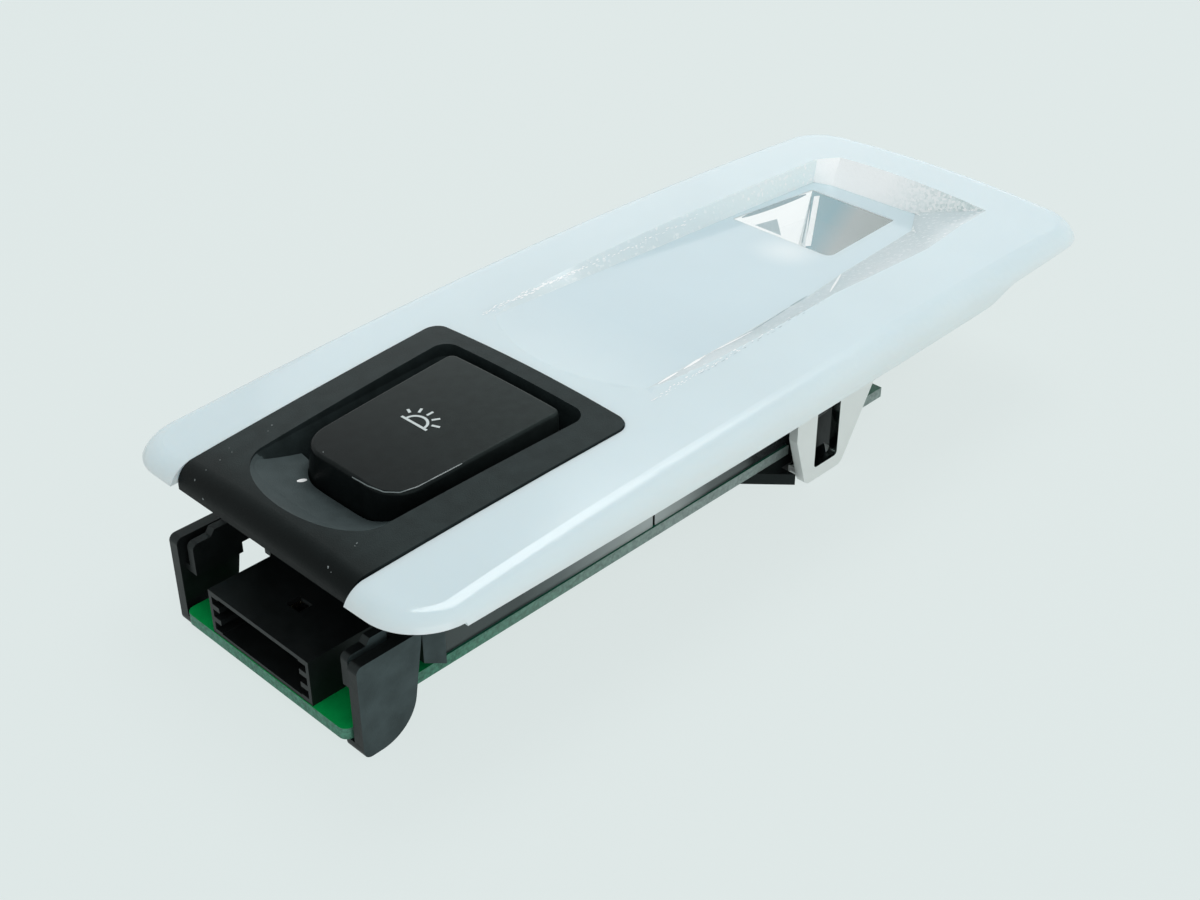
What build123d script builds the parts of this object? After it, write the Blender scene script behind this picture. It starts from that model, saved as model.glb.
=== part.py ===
"""Car dome light with a push button, a milky lens frame and a reading light.

The lamp lies face up, as it stands on a table: the lens looks along +Z and the feet touch Z = 0.
X runs along the lamp from the connector end to the reading light, and Y across it.
The origin is the middle of the lamp's box, at the foot plane. All sizes are millimetres.
Places along the lamp are stations, counted from the front edge of the circuit board.
"""
import os
from math import atan, cos, sqrt

from build123d import *

# Overall sizes
lens_length = 135.0
lens_width = 56.7
lens_near_width = 55.8
lens_far_width = 54.2
lens_corner_radius = 8.0
lens_top = 26.4
skirt_bottom = 20.7
board_overhang = 1.0
foot_drop = 1.8

# Crown of the visible face, an arc along the lamp and a rounder one across it
crown_peak = 80.0
crown_radius = 1080.0
cross_crown_radius = 250.0
crown_margin = 10.0

# Lens frame
lens_wall = 2.2
lens_roof = 2.4
lens_edge_round = 3.6
near_rim_bottom = 21.05
far_rim_bottom = 22.0
skirt_near_end = 8.6
skirt_far_end = 106.0
skirt_far_run = 8.0
fit_gap = 0.15
cut_margin = 1.0

# Inner wall of the lens frame, open towards the switch
light_wall = 1.2
light_wall_outer = 19.6
light_wall_near = 14.0
light_wall_far = 129.8

# Latches of the lens frame, which grip the edges of the flanges below
latch_stations = (24.0, 62.0, 100.0)
latch_width = 6.0
latch_thickness = 1.5
latch_nose = 0.9
latch_nose_height = 0.8
latch_gap = 0.1

# Window recess: a wedge whose floor dips away from the switch
recess_near = 46.6
recess_far = 126.0
recess_half_width = 15.5
recess_floor_slope = 0.056
recess_skin = 2.0
recess_rim_level = 26.0

# Corners of the recess floor, as station and distance from the middle
floor_near_right = (recess_near, -14.3)
floor_bend = (87.1, -10.9)
floor_facet_start = (96.5, -9.4)
floor_facet_end = (117.0, -7.0)
floor_far_right = (122.8, -3.6)
floor_far_turn = (122.7, -2.9)
floor_far_left = (122.1, 11.9)
floor_left_turn = (121.0, 14.8)
floor_near_left = (recess_near, 13.4)

# Corners of the recess rim, each above its corner of the floor
rim_near_right = (recess_near, -16.6)
rim_bend = (86.3, -15.7)
rim_facet_start = (87.0, -15.7)
rim_facet_end = (106.5, -17.4)
rim_far_right = (116.0, -17.2)
rim_far_turn = (125.7, -17.8)
rim_far_left = (126.2, 13.4)
rim_left_turn = (122.6, 15.5)
rim_near_left = (recess_near, 16.4)

# Clear window over the reading light, narrower towards its far edge
window_near = 100.0
window_far = 118.3
window_right = -4.7
window_left = 13.7
window_right_taper = 1.8
window_left_taper = 0.8
window_corner = 1.2
window_tip = 0.25
window_lip = 1.5
window_lip_thickness = 0.9

# Switch bezel
bezel_front = 2.1
bezel_rear = 44.4
bezel_front_half = 16.15
bezel_rear_half = 17.85
bezel_proud = 0.25
bezel_wall = 1.8
bezel_roof = 2.0
bezel_roll = 2.6
bezel_lip_bottom = 20.3
bezel_corner = 2.0
peg_diameter = 1.5
peg_length = 1.3
peg_stations = (12.0, 40.0)

# Finger well in the bezel
well_front = 5.3
well_shoulder = 11.4
well_rear = 41.9
well_front_half = 11.4
well_rear_half = 13.2
well_corner = 2.2
well_bottom = 19.4
well_wall = 1.6
slot_front_round = 0.6

# Push button
button_front = 15.0
button_rear = 40.3
button_front_half = 9.0
button_rear_half = 10.05
button_front_corner = 4.6
button_rear_corner = 1.2
button_proud = 0.2
button_flare = 0.3
button_front_rake = 1.5
button_wall = 1.5
button_roof = 1.8
button_edge = 0.5
button_gap = 0.4
button_travel = 0.8
button_bottom = 18.2
tab_width = 5.0
tab_reach = 1.6
tab_thickness = 1.2
tab_gap = 0.1
tab_station = 30.0

# Light pipe behind the button's sign
symbol_station = 28.0
symbol_offset = 0.6
pipe_diameter = 7.0
pipe_tail_diameter = 4.0
pipe_head_length = 5.0
pipe_sleeve_wall = 1.2
pipe_sleeve_length = 6.0
pipe_gap = 0.8
pipe_cap = 0.5

# Switch under the button
switch_station = 35.0
switch_size = 6.2
switch_height = 3.6
switch_cover_thickness = 0.3
switch_floor = 1.4
stem_diameter = 3.4
stem_gap = 0.2
stem_foot = 0.8
stem_top = 10.6
pusher_diameter = 5.0
terminal_width = 0.7
terminal_thickness = 0.3
terminal_spread = 2.25
terminal_rise = 1.4
terminal_foot = 1.1

# Circuit board
board_thickness = 1.6
board_length = 119.0
board_wide_half = 15.7
board_half = 13.9
board_tail_station = 103.0
board_tail_right = 8.6
board_wide_length = 9.6
board_corner = 1.2

# Connector
connector_front = 0.1
connector_half = 9.7
connector_height = 6.5
connector_depth = 13.0
connector_wall = 1.9
connector_floor = 0.6
connector_roof = 0.6
connector_back = 3.0
key_depth = 1.35
key_height = 1.15
key_pitch = 1.9
latch_slot_station = 6.0
latch_slot_middle = -0.5
latch_slot_length = 2.0
latch_slot_width = 2.4
pin_count = 6
pin_pitch = 2.4
pin_size = 0.64
pin_gap = 0.1
pin_reach = 5.4
pin_height = 3.2
pin_tail = 0.9

# Switch housing
housing_front = 13.0
housing_rear = 92.0
housing_half = 13.6
housing_wall = 1.2
housing_front_bottom = 10.6
flange_bottom = 15.5
flange_top = 17.0
flange_front = 8.0
flange_rear = 76.0
flange_half = 20.0
flange_corner = 3.0
flange_opening_front = 14.5
flange_opening_rear = 74.0
flange_opening_half = 12.6
gusset_stations = (20.0, 38.0, 56.0, 72.0)
gusset_thickness = 1.2
gusset_depth = 5.0
gusset_outer = 17.5
panel_groove_station = 53.4
panel_groove = 0.4

# Near clips of the housing
clip_front = 0.7
clip_rear = 8.0
clip_rear_top = 10.2
clip_outer = 18.0
clip_thickness = 1.6
clip_top = 13.4
clip_heel_radius = 5.5
clip_tip_radius = 2.0
clip_top_radius = 0.9
toe_inner = 14.9
toe_length = 3.0
toe_radius = 1.2
toe_gap = 0.05

# Inner plate of each clip, which makes a small tray with it, and the arm that ties it to the housing
tray_front = 1.5
tray_rear = 8.4
tray_inner = 14.2
tray_wall = 1.2
tray_bottom = 8.7
tray_floor = 1.0
tray_front_top = 13.2
tray_top = 14.0
tray_step_start = 4.2
tray_step_end = 4.8
tray_corner = 0.8
arm_bottom = 10.2
arm_rise = 9.5
plate_front = 12.2
plate_front_bottom = 5.9
plate_end = 15.6
plate_end_bottom = 3.8

# Rear hooks of the housing
hook_front = 72.5
hook_tip_station = 77.9
hook_tip = 17.9
hook_arm_front = 81.0
hook_rear = 90.0
hook_outer = 15.4
hook_toe_inner = 11.0
hook_toe_front = 12.0
hook_nose_width = 3.8
hook_nose_reach = 2.6
hook_nose_bottom = 6.4
hook_nose_top = 10.6
hook_nose_land = 1.0
board_side_gap = 0.15

# Reflector with its two loop legs
reflector_front = 76.3
reflector_rear = 130.6
reflector_outer = 19.0
reflector_wall = 1.4
reflector_skirt_bottom = 14.4
reflector_front_bottom = 8.2
cup_wall = 1.2
cup_foot = 8.0
cup_clearance = 0.3
leg_front = 78.8
leg_rear = 86.8
leg_flare = 8.4
leg_flare_radius = 7.0
leg_tip_radius = 1.4
leg_window_corner = 0.6
leg_window_front = 80.6
leg_window_rear = 85.7
leg_window_top = 13.5
leg_window_bottom = 2.0
leg_foot_inner = 15.9

# Electronics
reading_led_size = 3.5
reading_led_base = 0.7
reading_led_dome = 2.6
small_led_length = 2.8
small_led_width = 3.2
small_led_height = 1.3
small_led_bowl = 2.2
small_led_bowl_depth = 0.5
frame_led_stations = (48.0, 66.0)
frame_led_offset = 8.5
chip_station = 57.0
chip_length = 4.9
chip_width = 3.9
chip_height = 1.5
chip_standoff = 0.15
chip_leads = 4
lead_width = 0.42
lead_pitch = 1.27
lead_thickness = 0.22
lead_reach = 1.05
resistor_size = (2.0, 1.25, 0.5)
resistor_places = ((50.0, 3.0), (50.0, -3.0), (64.0, 3.5), (64.0, -3.5), (72.0, 0.0), (96.0, -8.0))
capacitor_size = (3.2, 2.5, 1.8)
capacitor_places = ((19.0, 6.0), (19.0, -6.0), (94.0, 8.0))
diode_size = (4.3, 2.6, 2.1)
diode_place = (20.5, 0.0)

# Derived places
overall_length = lens_length + board_overhang
board_bottom = foot_drop
board_top = board_bottom + board_thickness
window_middle = (window_near + window_far) / 2
window_across = (window_left + window_right) / 2


def station(distance):
    """X of a place given by its distance behind the board's front edge."""
    return distance - overall_length / 2


def crown_height(distance, across=0.0):
    """Height of the crowned face at a station and a distance from the middle."""
    along_drop = crown_radius - sqrt(crown_radius**2 - (distance - crown_peak) ** 2)
    across_drop = cross_crown_radius - sqrt(cross_crown_radius**2 - across**2)
    return lens_top - along_drop - across_drop


def crown_above(height):
    """Everything above the crowned face whose peak lies at the given height."""
    side = lens_width
    sag = cross_crown_radius - sqrt(cross_crown_radius**2 - side**2)
    rise = height - lens_top
    near = -crown_margin
    far = overall_length + crown_margin
    with BuildPart() as above:
        with BuildLine(Plane.XZ) as spine:
            ThreePointArc(
                (station(near), crown_height(near) + rise),
                (station(crown_peak), height),
                (station(far), crown_height(far) + rise),
            )
        with BuildSketch(Plane(spine.line @ 0, x_dir=(0, 1, 0), z_dir=spine.line % 0)):
            with BuildLine():
                ThreePointArc((-side, -sag), (0, 0), (side, -sag))
                Polyline((side, -sag), (side, lens_width / 2), (-side, lens_width / 2), (-side, -sag))
            make_face()
        sweep(path=spine.wires()[0])
    return above.part


def barrel_outline(inset=0.0):
    """Plan of the lens frame: a rounded rectangle whose long sides bow outwards."""
    near = station(board_overhang)
    far = near + lens_length
    near_half = lens_near_width / 2
    far_half = lens_far_width / 2
    middle = (near + far) / 2
    with BuildSketch() as outline:
        with BuildLine():
            ThreePointArc((near, -near_half), (middle, -lens_width / 2), (far, -far_half))
            Line((far, -far_half), (far, far_half))
            ThreePointArc((far, far_half), (middle, lens_width / 2), (near, near_half))
            Line((near, near_half), (near, -near_half))
        make_face()
        fillet(outline.vertices(), lens_corner_radius)
        if inset:
            offset(amount=-inset, mode=Mode.REPLACE)
    return outline.sketch


def bezel_outline(grow=0.0, front_grow=0.0):
    """Plan of the switch bezel, which widens a little away from the connector end."""
    front = station(bezel_front) - front_grow
    with BuildSketch() as outline:
        with BuildLine():
            Polyline(
                (front, -bezel_front_half),
                (station(bezel_rear), -bezel_rear_half),
                (station(bezel_rear), bezel_rear_half),
                (front, bezel_front_half),
                close=True,
            )
        make_face()
        fillet(outline.vertices().group_by(Axis.X)[-1], bezel_corner)
        if grow:
            offset(amount=grow, mode=Mode.REPLACE)
    return outline.sketch


def well_outline(front, shoulder, rear, front_half, rear_half, corner):
    """Finger well outline: half an ellipse in front, tapered sides and a square rear."""
    with BuildSketch() as outline:
        with BuildLine():
            EllipticalCenterArc(
                (station(shoulder), 0), shoulder - front, front_half, start_angle=90, arc_size=180
            )
            Polyline(
                (station(shoulder), -front_half),
                (station(rear), -rear_half),
                (station(rear), rear_half),
                (station(shoulder), front_half),
            )
        make_face()
        fillet(outline.vertices().group_by(Axis.X)[-1], corner)
    return outline.sketch


def button_outline(grow=0.0, front_grow=0.0):
    """Plan of the push button: wide round corners in front, nearly square ones behind."""
    front = station(button_front) - front_grow
    rear = station(button_rear) + grow
    with BuildSketch() as outline:
        with BuildLine():
            Polyline(
                (front, -button_front_half - grow),
                (rear, -button_rear_half - grow),
                (rear, button_rear_half + grow),
                (front, button_front_half + grow),
                close=True,
            )
        make_face()
        fillet(outline.vertices().group_by(Axis.X)[0], button_front_corner)
        fillet(outline.vertices().group_by(Axis.X)[-1], button_rear_corner)
    return outline.sketch


# The recess floor is a plane that leaves the crowned face at the near end of the recess
recess_start_height = crown_height(recess_near)
floor_plane = Plane(
    (station(recess_near), 0, recess_start_height),
    x_dir=(1, 0, -recess_floor_slope),
    z_dir=(recess_floor_slope, 0, 1),
)


def on_floor(distance):
    """Distance along the sloping floor that lies below a given station."""
    return (distance - recess_near) / cos(atan(recess_floor_slope))


def floor_height(distance):
    """Height of the recess floor at a station."""
    return recess_start_height - recess_floor_slope * (distance - recess_near)


def window_outline(grow=0.0):
    """Outline of the reading window on the floor plane, grown all round by the given amount."""
    near = on_floor(window_near)
    far = on_floor(window_far)
    with BuildSketch() as outline:
        with BuildLine():
            Polyline(
                (near, window_right),
                (far, window_right + window_right_taper),
                (far, window_left - window_left_taper),
                (near, window_left),
                close=True,
            )
        make_face()
        if grow:
            offset(amount=grow, kind=Kind.INTERSECTION, mode=Mode.REPLACE)
    return outline.sketch


def soft_window_outline(grow=0.0):
    """The same outline with its near right corner well rounded and the other three almost sharp."""
    with BuildSketch() as outline:
        add(window_outline(grow))
        corners = outline.vertices().sort_by_distance((on_floor(window_near), window_right, 0))
        fillet(corners[1:], window_tip)
        near_right = outline.vertices().sort_by_distance((on_floor(window_near), window_right, 0))[0]
        fillet(near_right, window_corner)
    return outline.sketch


# Recess outline on its floor and at its rim, from the near right corner round to the near left one
# The right wall opens into wide facets beside the reading light
recess_floor_outline = [
    floor_near_right,
    floor_bend,
    floor_facet_start,
    floor_facet_end,
    floor_far_right,
    floor_far_turn,
    floor_far_left,
    floor_left_turn,
    floor_near_left,
]
recess_rim_outline = [
    rim_near_right,
    rim_bend,
    rim_facet_start,
    rim_facet_end,
    rim_far_right,
    rim_far_turn,
    rim_far_left,
    rim_left_turn,
    rim_near_left,
]

face_crown = crown_above(lens_top)

with BuildSketch(floor_plane) as recess_floor_sketch:
    with BuildLine():
        Polyline([(on_floor(distance), across) for distance, across in recess_floor_outline], close=True)
    make_face()

with BuildSketch(Plane.XY.offset(recess_rim_level)) as recess_rim_sketch:
    with BuildLine():
        Polyline([(station(distance), across) for distance, across in recess_rim_outline], close=True)
    make_face()

with BuildPart() as recess_space:
    loft(sections=[recess_floor_sketch.sketch, recess_rim_sketch.sketch], ruled=True)
    extrude(recess_rim_sketch.sketch, amount=lens_top + cut_margin - recess_rim_level)

# Hollow under the lens frame's roof, leaving a wall round the bezel and the tub of the recess
lens_inner_plan = barrel_outline(lens_wall)
lens_inner_crown = crown_above(lens_top - lens_roof)
notch_wall_plan = bezel_outline(fit_gap + lens_wall, bezel_front)
tub_far = recess_far + lens_wall
with BuildPart() as recess_tub:
    with BuildSketch(Plane.XZ):
        with BuildLine():
            Polyline(
                (station(recess_near), lens_top),
                (station(recess_near), floor_height(recess_near) - recess_skin),
                (station(tub_far), floor_height(tub_far) - recess_skin),
                (station(tub_far), lens_top),
                close=True,
            )
        make_face()
    extrude(amount=recess_half_width + lens_wall, both=True)
with BuildPart() as lens_hollow:
    with BuildSketch(Plane.XY.offset(skirt_bottom - cut_margin)):
        add(lens_inner_plan)
    extrude(amount=lens_top)
    add(lens_inner_crown, mode=Mode.SUBTRACT)
    with BuildSketch(Plane.XY.offset(skirt_bottom - cut_margin)):
        add(notch_wall_plan)
    extrude(amount=lens_top, mode=Mode.SUBTRACT)
    add(recess_tub.part, mode=Mode.SUBTRACT)

# Space below the rim, whose lower edge is higher beyond both ends of the skirt
with BuildPart() as rim_space:
    with BuildSketch(Plane.XZ):
        with BuildLine():
            Polyline(
                (station(-cut_margin), skirt_bottom - cut_margin),
                (station(skirt_near_end), skirt_bottom - cut_margin),
                (station(skirt_near_end), near_rim_bottom),
                (station(-cut_margin), near_rim_bottom),
                close=True,
            )
        make_face()
        with BuildLine():
            skirt_foot = (station(skirt_far_end), skirt_bottom)
            skirt_head = (station(skirt_far_end + skirt_far_run), far_rim_bottom)
            Spline(skirt_foot, skirt_head, tangents=[(1, 0), (1, 0)])
            Polyline(
                skirt_head,
                (station(overall_length + cut_margin), far_rim_bottom),
                (station(overall_length + cut_margin), skirt_bottom - cut_margin),
                (station(skirt_far_end), skirt_bottom - cut_margin),
                skirt_foot,
            )
        make_face()
    extrude(amount=lens_width, both=True)
    add(recess_tub.part, mode=Mode.SUBTRACT)

# Lens frame
lens_plan = barrel_outline()
notch_plan = bezel_outline(fit_gap, bezel_front)
latch_inner = flange_half + 2 * latch_gap
latch_outer = latch_inner + latch_thickness
latch_tip = flange_bottom - latch_gap - latch_nose_height
roof_middle_crown = crown_above(lens_top - lens_roof / 2)
wall_run = light_wall_far - light_wall_near
with BuildPart() as light_fence:
    with BuildSketch(Plane.XY.offset(flange_top)):
        with Locations((station(light_wall_near + wall_run / 2), 0)):
            Rectangle(wall_run, 2 * light_wall_outer)
        with Locations((station(light_wall_near + wall_run / 2) - light_wall, 0)):
            Rectangle(wall_run, 2 * (light_wall_outer - light_wall), mode=Mode.SUBTRACT)
    extrude(amount=lens_top - flange_top)
    add(roof_middle_crown, mode=Mode.SUBTRACT)
with BuildPart() as lens_frame:
    with BuildSketch(Plane.XY.offset(skirt_bottom)):
        add(lens_plan)
    extrude(amount=lens_top + cut_margin - skirt_bottom)
    add(face_crown, mode=Mode.SUBTRACT)
    crowned_face = lens_frame.faces().filter_by(GeomType.TORUS)[0]
    fillet(crowned_face.outer_wire().edges(), lens_edge_round)
    add(lens_hollow.part, mode=Mode.SUBTRACT)
    add(rim_space.part, mode=Mode.SUBTRACT)
    with BuildSketch(Plane.XY.offset(skirt_bottom - cut_margin)):
        add(notch_plan)
    extrude(amount=lens_top, mode=Mode.SUBTRACT)
    add(recess_space.part, mode=Mode.SUBTRACT)
    # Opening for the reading window
    with BuildSketch(floor_plane):
        add(soft_window_outline())
    extrude(amount=2 * recess_skin, both=True, mode=Mode.SUBTRACT)
    # Inner wall that stands on the flanges below and keeps the light in
    add(light_fence.part)
    # Latch tongues on both sides
    for latch_station in latch_stations:
        roof_inside = crown_height(latch_station, latch_outer) - lens_roof / 2
        with BuildSketch(Plane.YZ.offset(station(latch_station) - latch_width / 2)):
            for side in (1, -1):
                with BuildLine():
                    Polyline(
                        (side * latch_inner, roof_inside),
                        (side * latch_outer, roof_inside),
                        (side * latch_outer, latch_tip),
                        (side * latch_inner, latch_tip),
                        (side * (latch_inner - latch_nose), flange_bottom - latch_gap),
                        (side * latch_inner, flange_bottom - latch_gap),
                        close=True,
                    )
                make_face()
        extrude(amount=latch_width)
lens_frame.part.label = "lens_frame"

# Reading window: a clear plate flush with the recess floor, with a lip glued below it
with BuildPart() as reading_window:
    with BuildSketch(floor_plane):
        add(soft_window_outline(-fit_gap))
    extrude(amount=-recess_skin)
    with BuildSketch(floor_plane.offset(-recess_skin)):
        add(soft_window_outline(window_lip))
    extrude(amount=-window_lip_thickness)
reading_window.part.label = "reading_window"

# Finger well of the bezel: steep sides and a sloping scoop in front of the button
well_rise = lens_top + cut_margin
well_slot_front = button_front - button_front_rake - button_gap
well_slot_rear = button_rear + button_flare + button_gap
well_slot_front_half = button_front_half + button_flare + button_gap
well_slot_rear_half = button_rear_half + button_flare + button_gap
well_slot_shoulder = well_slot_front + slot_front_round


def well_space(grow):
    """The funnel of the finger well, or the block of its walls when grown."""
    top = well_outline(
        well_front - grow,
        well_shoulder,
        well_rear + grow,
        well_front_half + grow,
        well_rear_half + grow,
        well_corner,
    )
    slot = well_outline(
        well_slot_front - grow,
        well_slot_shoulder,
        well_slot_rear + grow,
        well_slot_front_half + grow,
        well_slot_rear_half + grow,
        well_corner,
    )
    with BuildPart() as funnel:
        with BuildSketch(Plane.XY.offset(well_bottom)) as lower:
            add(slot)
        with BuildSketch(Plane.XY.offset(crown_height(well_front))) as upper:
            add(top)
        loft(sections=[lower.sketch, upper.sketch], ruled=True)
        with BuildSketch(Plane.XY.offset(crown_height(well_front))):
            add(top)
        extrude(amount=well_rise - crown_height(well_front))
    return funnel.part


well_cut = well_space(0.0)
well_block = well_space(well_wall)

# Hollow under the bezel's roof, outside the walls of the finger well
bezel_inner_plan = bezel_outline(-bezel_wall)
bezel_crown = crown_above(lens_top + bezel_proud)
bezel_inner_crown = crown_above(lens_top + bezel_proud - bezel_roof)
with BuildPart() as bezel_hollow:
    with BuildSketch(Plane.XY.offset(flange_top)):
        add(bezel_inner_plan)
    extrude(amount=lens_top)
    add(bezel_inner_crown, mode=Mode.SUBTRACT)
    add(well_block, mode=Mode.SUBTRACT)

# Switch bezel, with its pegs in the middle of its side walls
bezel_plan = bezel_outline()
bezel_taper = (bezel_rear_half - bezel_front_half) / (bezel_rear - bezel_front)
peg_places = []
for peg_station in peg_stations:
    peg_across = bezel_front_half + bezel_taper * (peg_station - bezel_front) - bezel_wall / 2
    peg_places.append((station(peg_station), peg_across))
    peg_places.append((station(peg_station), -peg_across))
with BuildPart() as switch_bezel:
    with BuildSketch(Plane.XY.offset(flange_top)):
        add(bezel_plan)
    extrude(amount=lens_top + cut_margin - flange_top)
    add(bezel_crown, mode=Mode.SUBTRACT)
    bezel_face = switch_bezel.faces().filter_by(GeomType.TORUS)[0]
    fillet(bezel_face.edges().sort_by(Axis.X)[0], bezel_roll)
    add(bezel_hollow.part, mode=Mode.SUBTRACT)
    with BuildSketch(Plane.XZ):
        with BuildLine():
            Polyline(
                (station(bezel_front) - cut_margin, flange_top - cut_margin),
                (station(flange_front), flange_top - cut_margin),
                (station(flange_front), bezel_lip_bottom),
                (station(bezel_front) - cut_margin, bezel_lip_bottom),
                close=True,
            )
        make_face()
    extrude(amount=lens_width, both=True, mode=Mode.SUBTRACT)
    add(well_cut, mode=Mode.SUBTRACT)
    # Pegs that locate the bezel in the flange
    with BuildSketch(Plane.XY.offset(flange_top)):
        with Locations(peg_places):
            Circle(peg_diameter / 2)
    extrude(amount=-peg_length)
switch_bezel.part.label = "switch_bezel"

# Push button: a hollow cap with a pusher, a sleeve for the light pipe and two retaining tabs
button_crown = crown_above(lens_top + button_proud)
button_inner_crown = crown_above(lens_top + button_proud - button_roof)
cap_top = lens_top + button_proud + cut_margin
button_top_plan = button_outline()
button_foot_plan = button_outline(button_flare, button_front_rake)
inner_top_plan = button_outline(-button_wall, -button_wall)
inner_foot_plan = button_outline(button_flare - button_wall, button_front_rake - button_wall)


def button_loft(foot_plan, top_plan):
    """Tapered block between the foot of the button and the height of its top."""
    with BuildPart() as block:
        with BuildSketch(Plane.XY.offset(button_bottom)) as lower:
            add(foot_plan)
        with BuildSketch(Plane.XY.offset(cap_top)) as upper:
            add(top_plan)
        loft(sections=[lower.sketch, upper.sketch], ruled=True)
    return block.part


button_block = button_loft(button_foot_plan, button_top_plan)
button_hollow = button_loft(inner_foot_plan, inner_top_plan) - button_inner_crown
pusher_head = crown_height(switch_station) + button_proud - button_roof / 2
sleeve_head = crown_height(symbol_station) + button_proud - button_roof / 2
pipe_head_top = sleeve_head - button_roof / 2 - pipe_cap
sleeve_diameter = pipe_diameter + 2 * fit_gap + 2 * pipe_sleeve_wall
tab_top = well_bottom - tab_gap
tab_half = button_rear_half + button_flare + tab_reach
with BuildPart() as push_button:
    add(button_block)
    add(button_crown, mode=Mode.SUBTRACT)
    button_face = push_button.faces().filter_by(GeomType.TORUS)[0]
    fillet(button_face.outer_wire().edges(), button_edge)
    add(button_hollow, mode=Mode.SUBTRACT)
    with BuildSketch(Plane.XY.offset(stem_top)):
        with Locations((station(switch_station), 0)):
            Circle(pusher_diameter / 2)
    extrude(amount=pusher_head - stem_top)
    with BuildSketch(Plane.XY.offset(sleeve_head - pipe_sleeve_length)):
        with Locations((station(symbol_station), symbol_offset)):
            Circle(sleeve_diameter / 2)
    extrude(amount=pipe_sleeve_length)
    with BuildSketch(Plane.XY.offset(tab_top - tab_thickness)):
        with Locations((station(tab_station), 0)):
            Rectangle(tab_width, 2 * tab_half)
            Rectangle(tab_width, 2 * (button_front_half - button_wall), mode=Mode.SUBTRACT)
    extrude(amount=tab_thickness)
    with BuildSketch(Plane.XY.offset(sleeve_head - pipe_sleeve_length)):
        with Locations((station(symbol_station), symbol_offset)):
            Circle(pipe_diameter / 2 + fit_gap)
    extrude(amount=pipe_head_top - sleeve_head + pipe_sleeve_length, mode=Mode.SUBTRACT)
push_button.part.label = "push_button"

# Light pipe: fills the sleeve behind the sign and hangs down over its light source
symbol_x = station(symbol_station)
pipe_tail_end = board_top + small_led_height + button_travel + pipe_gap
pipe_head_bottom = pipe_head_top - pipe_head_length
with BuildPart() as symbol_light_pipe:
    with BuildSketch(Plane.XY.offset(pipe_head_bottom)):
        with Locations((symbol_x, symbol_offset)):
            Circle(pipe_diameter / 2)
    extrude(amount=pipe_head_length)
    with BuildSketch(Plane.XY.offset(pipe_tail_end)):
        with Locations((symbol_x, symbol_offset)):
            Circle(pipe_tail_diameter / 2)
    extrude(amount=pipe_head_bottom - pipe_tail_end)
symbol_light_pipe.part.label = "symbol_light_pipe"

# Push switch on the board: moulded base, metal cover plate, sliding stem and four terminals
switch_x = station(switch_station)
switch_top = board_top + switch_height
bore_radius = stem_diameter / 2 + stem_gap
with BuildPart() as switch_base:
    with BuildSketch(Plane.XY.offset(board_top)):
        with Locations((switch_x, 0)):
            Rectangle(switch_size, switch_size)
    extrude(amount=switch_height)
    chamfer(switch_base.edges().filter_by(Axis.Z), switch_cover_thickness)
    with BuildSketch(Plane.XY.offset(switch_top)):
        with Locations((switch_x, 0)):
            Circle(bore_radius)
    extrude(amount=switch_floor - switch_height, mode=Mode.SUBTRACT)
switch_base.part.label = "switch_base"

with BuildPart() as switch_cover:
    with BuildSketch(Plane.XY.offset(switch_top)):
        with Locations((switch_x, 0)):
            RectangleRounded(switch_size, switch_size, switch_cover_thickness)
            Circle(bore_radius, mode=Mode.SUBTRACT)
    extrude(amount=switch_cover_thickness)
switch_cover.part.label = "switch_cover"

with BuildPart() as switch_stem:
    with BuildSketch(Plane.XY.offset(switch_top - stem_foot)):
        with Locations((switch_x, 0)):
            Circle(stem_diameter / 2)
    extrude(amount=stem_top - switch_top + stem_foot)
switch_stem.part.label = "switch_stem"

with BuildPart() as switch_terminals:
    for end in (1, -1):
        for side in (1, -1):
            heel = end * switch_size / 2
            with BuildSketch(Plane.XZ.offset(-side * terminal_spread + terminal_width / 2)):
                with BuildLine():
                    Polyline(
                        (switch_x + heel, board_top),
                        (switch_x + heel + end * terminal_foot, board_top),
                        (switch_x + heel + end * terminal_foot, board_top + terminal_thickness),
                        (switch_x + heel + end * terminal_thickness, board_top + terminal_thickness),
                        (switch_x + heel + end * terminal_thickness, board_top + terminal_rise),
                        (switch_x + heel, board_top + terminal_rise),
                        close=True,
                    )
                make_face()
            extrude(amount=-terminal_width)
switch_terminals.part.label = "switch_terminals"

# Circuit board: wide between the near clips, narrower along the housing and cut back at its far right
pin_x = station(connector_front + connector_depth + pin_size)
pin_places = [(index - (pin_count - 1) / 2) * pin_pitch for index in range(pin_count)]
with BuildPart() as circuit_board:
    with BuildSketch(Plane.XY.offset(board_bottom)) as board_plan:
        with BuildLine():
            Polyline(
                (station(0), -board_wide_half),
                (station(board_wide_length), -board_wide_half),
                (station(board_wide_length), -board_half),
                (station(board_tail_station), -board_half),
                (station(board_tail_station), -board_tail_right),
                (station(board_length), -board_tail_right),
                (station(board_length), board_half),
                (station(board_wide_length), board_half),
                (station(board_wide_length), board_wide_half),
                (station(0), board_wide_half),
                close=True,
            )
        make_face()
        fillet(board_plan.vertices().group_by(Axis.X)[0], board_corner)
        fillet(board_plan.vertices().group_by(Axis.X)[-1], board_corner)
        with Locations([(pin_x, across) for across in pin_places]):
            Rectangle(pin_size + 2 * pin_gap, pin_size + 2 * pin_gap, mode=Mode.SUBTRACT)
    extrude(amount=board_thickness)
circuit_board.part.label = "circuit_board"

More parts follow.
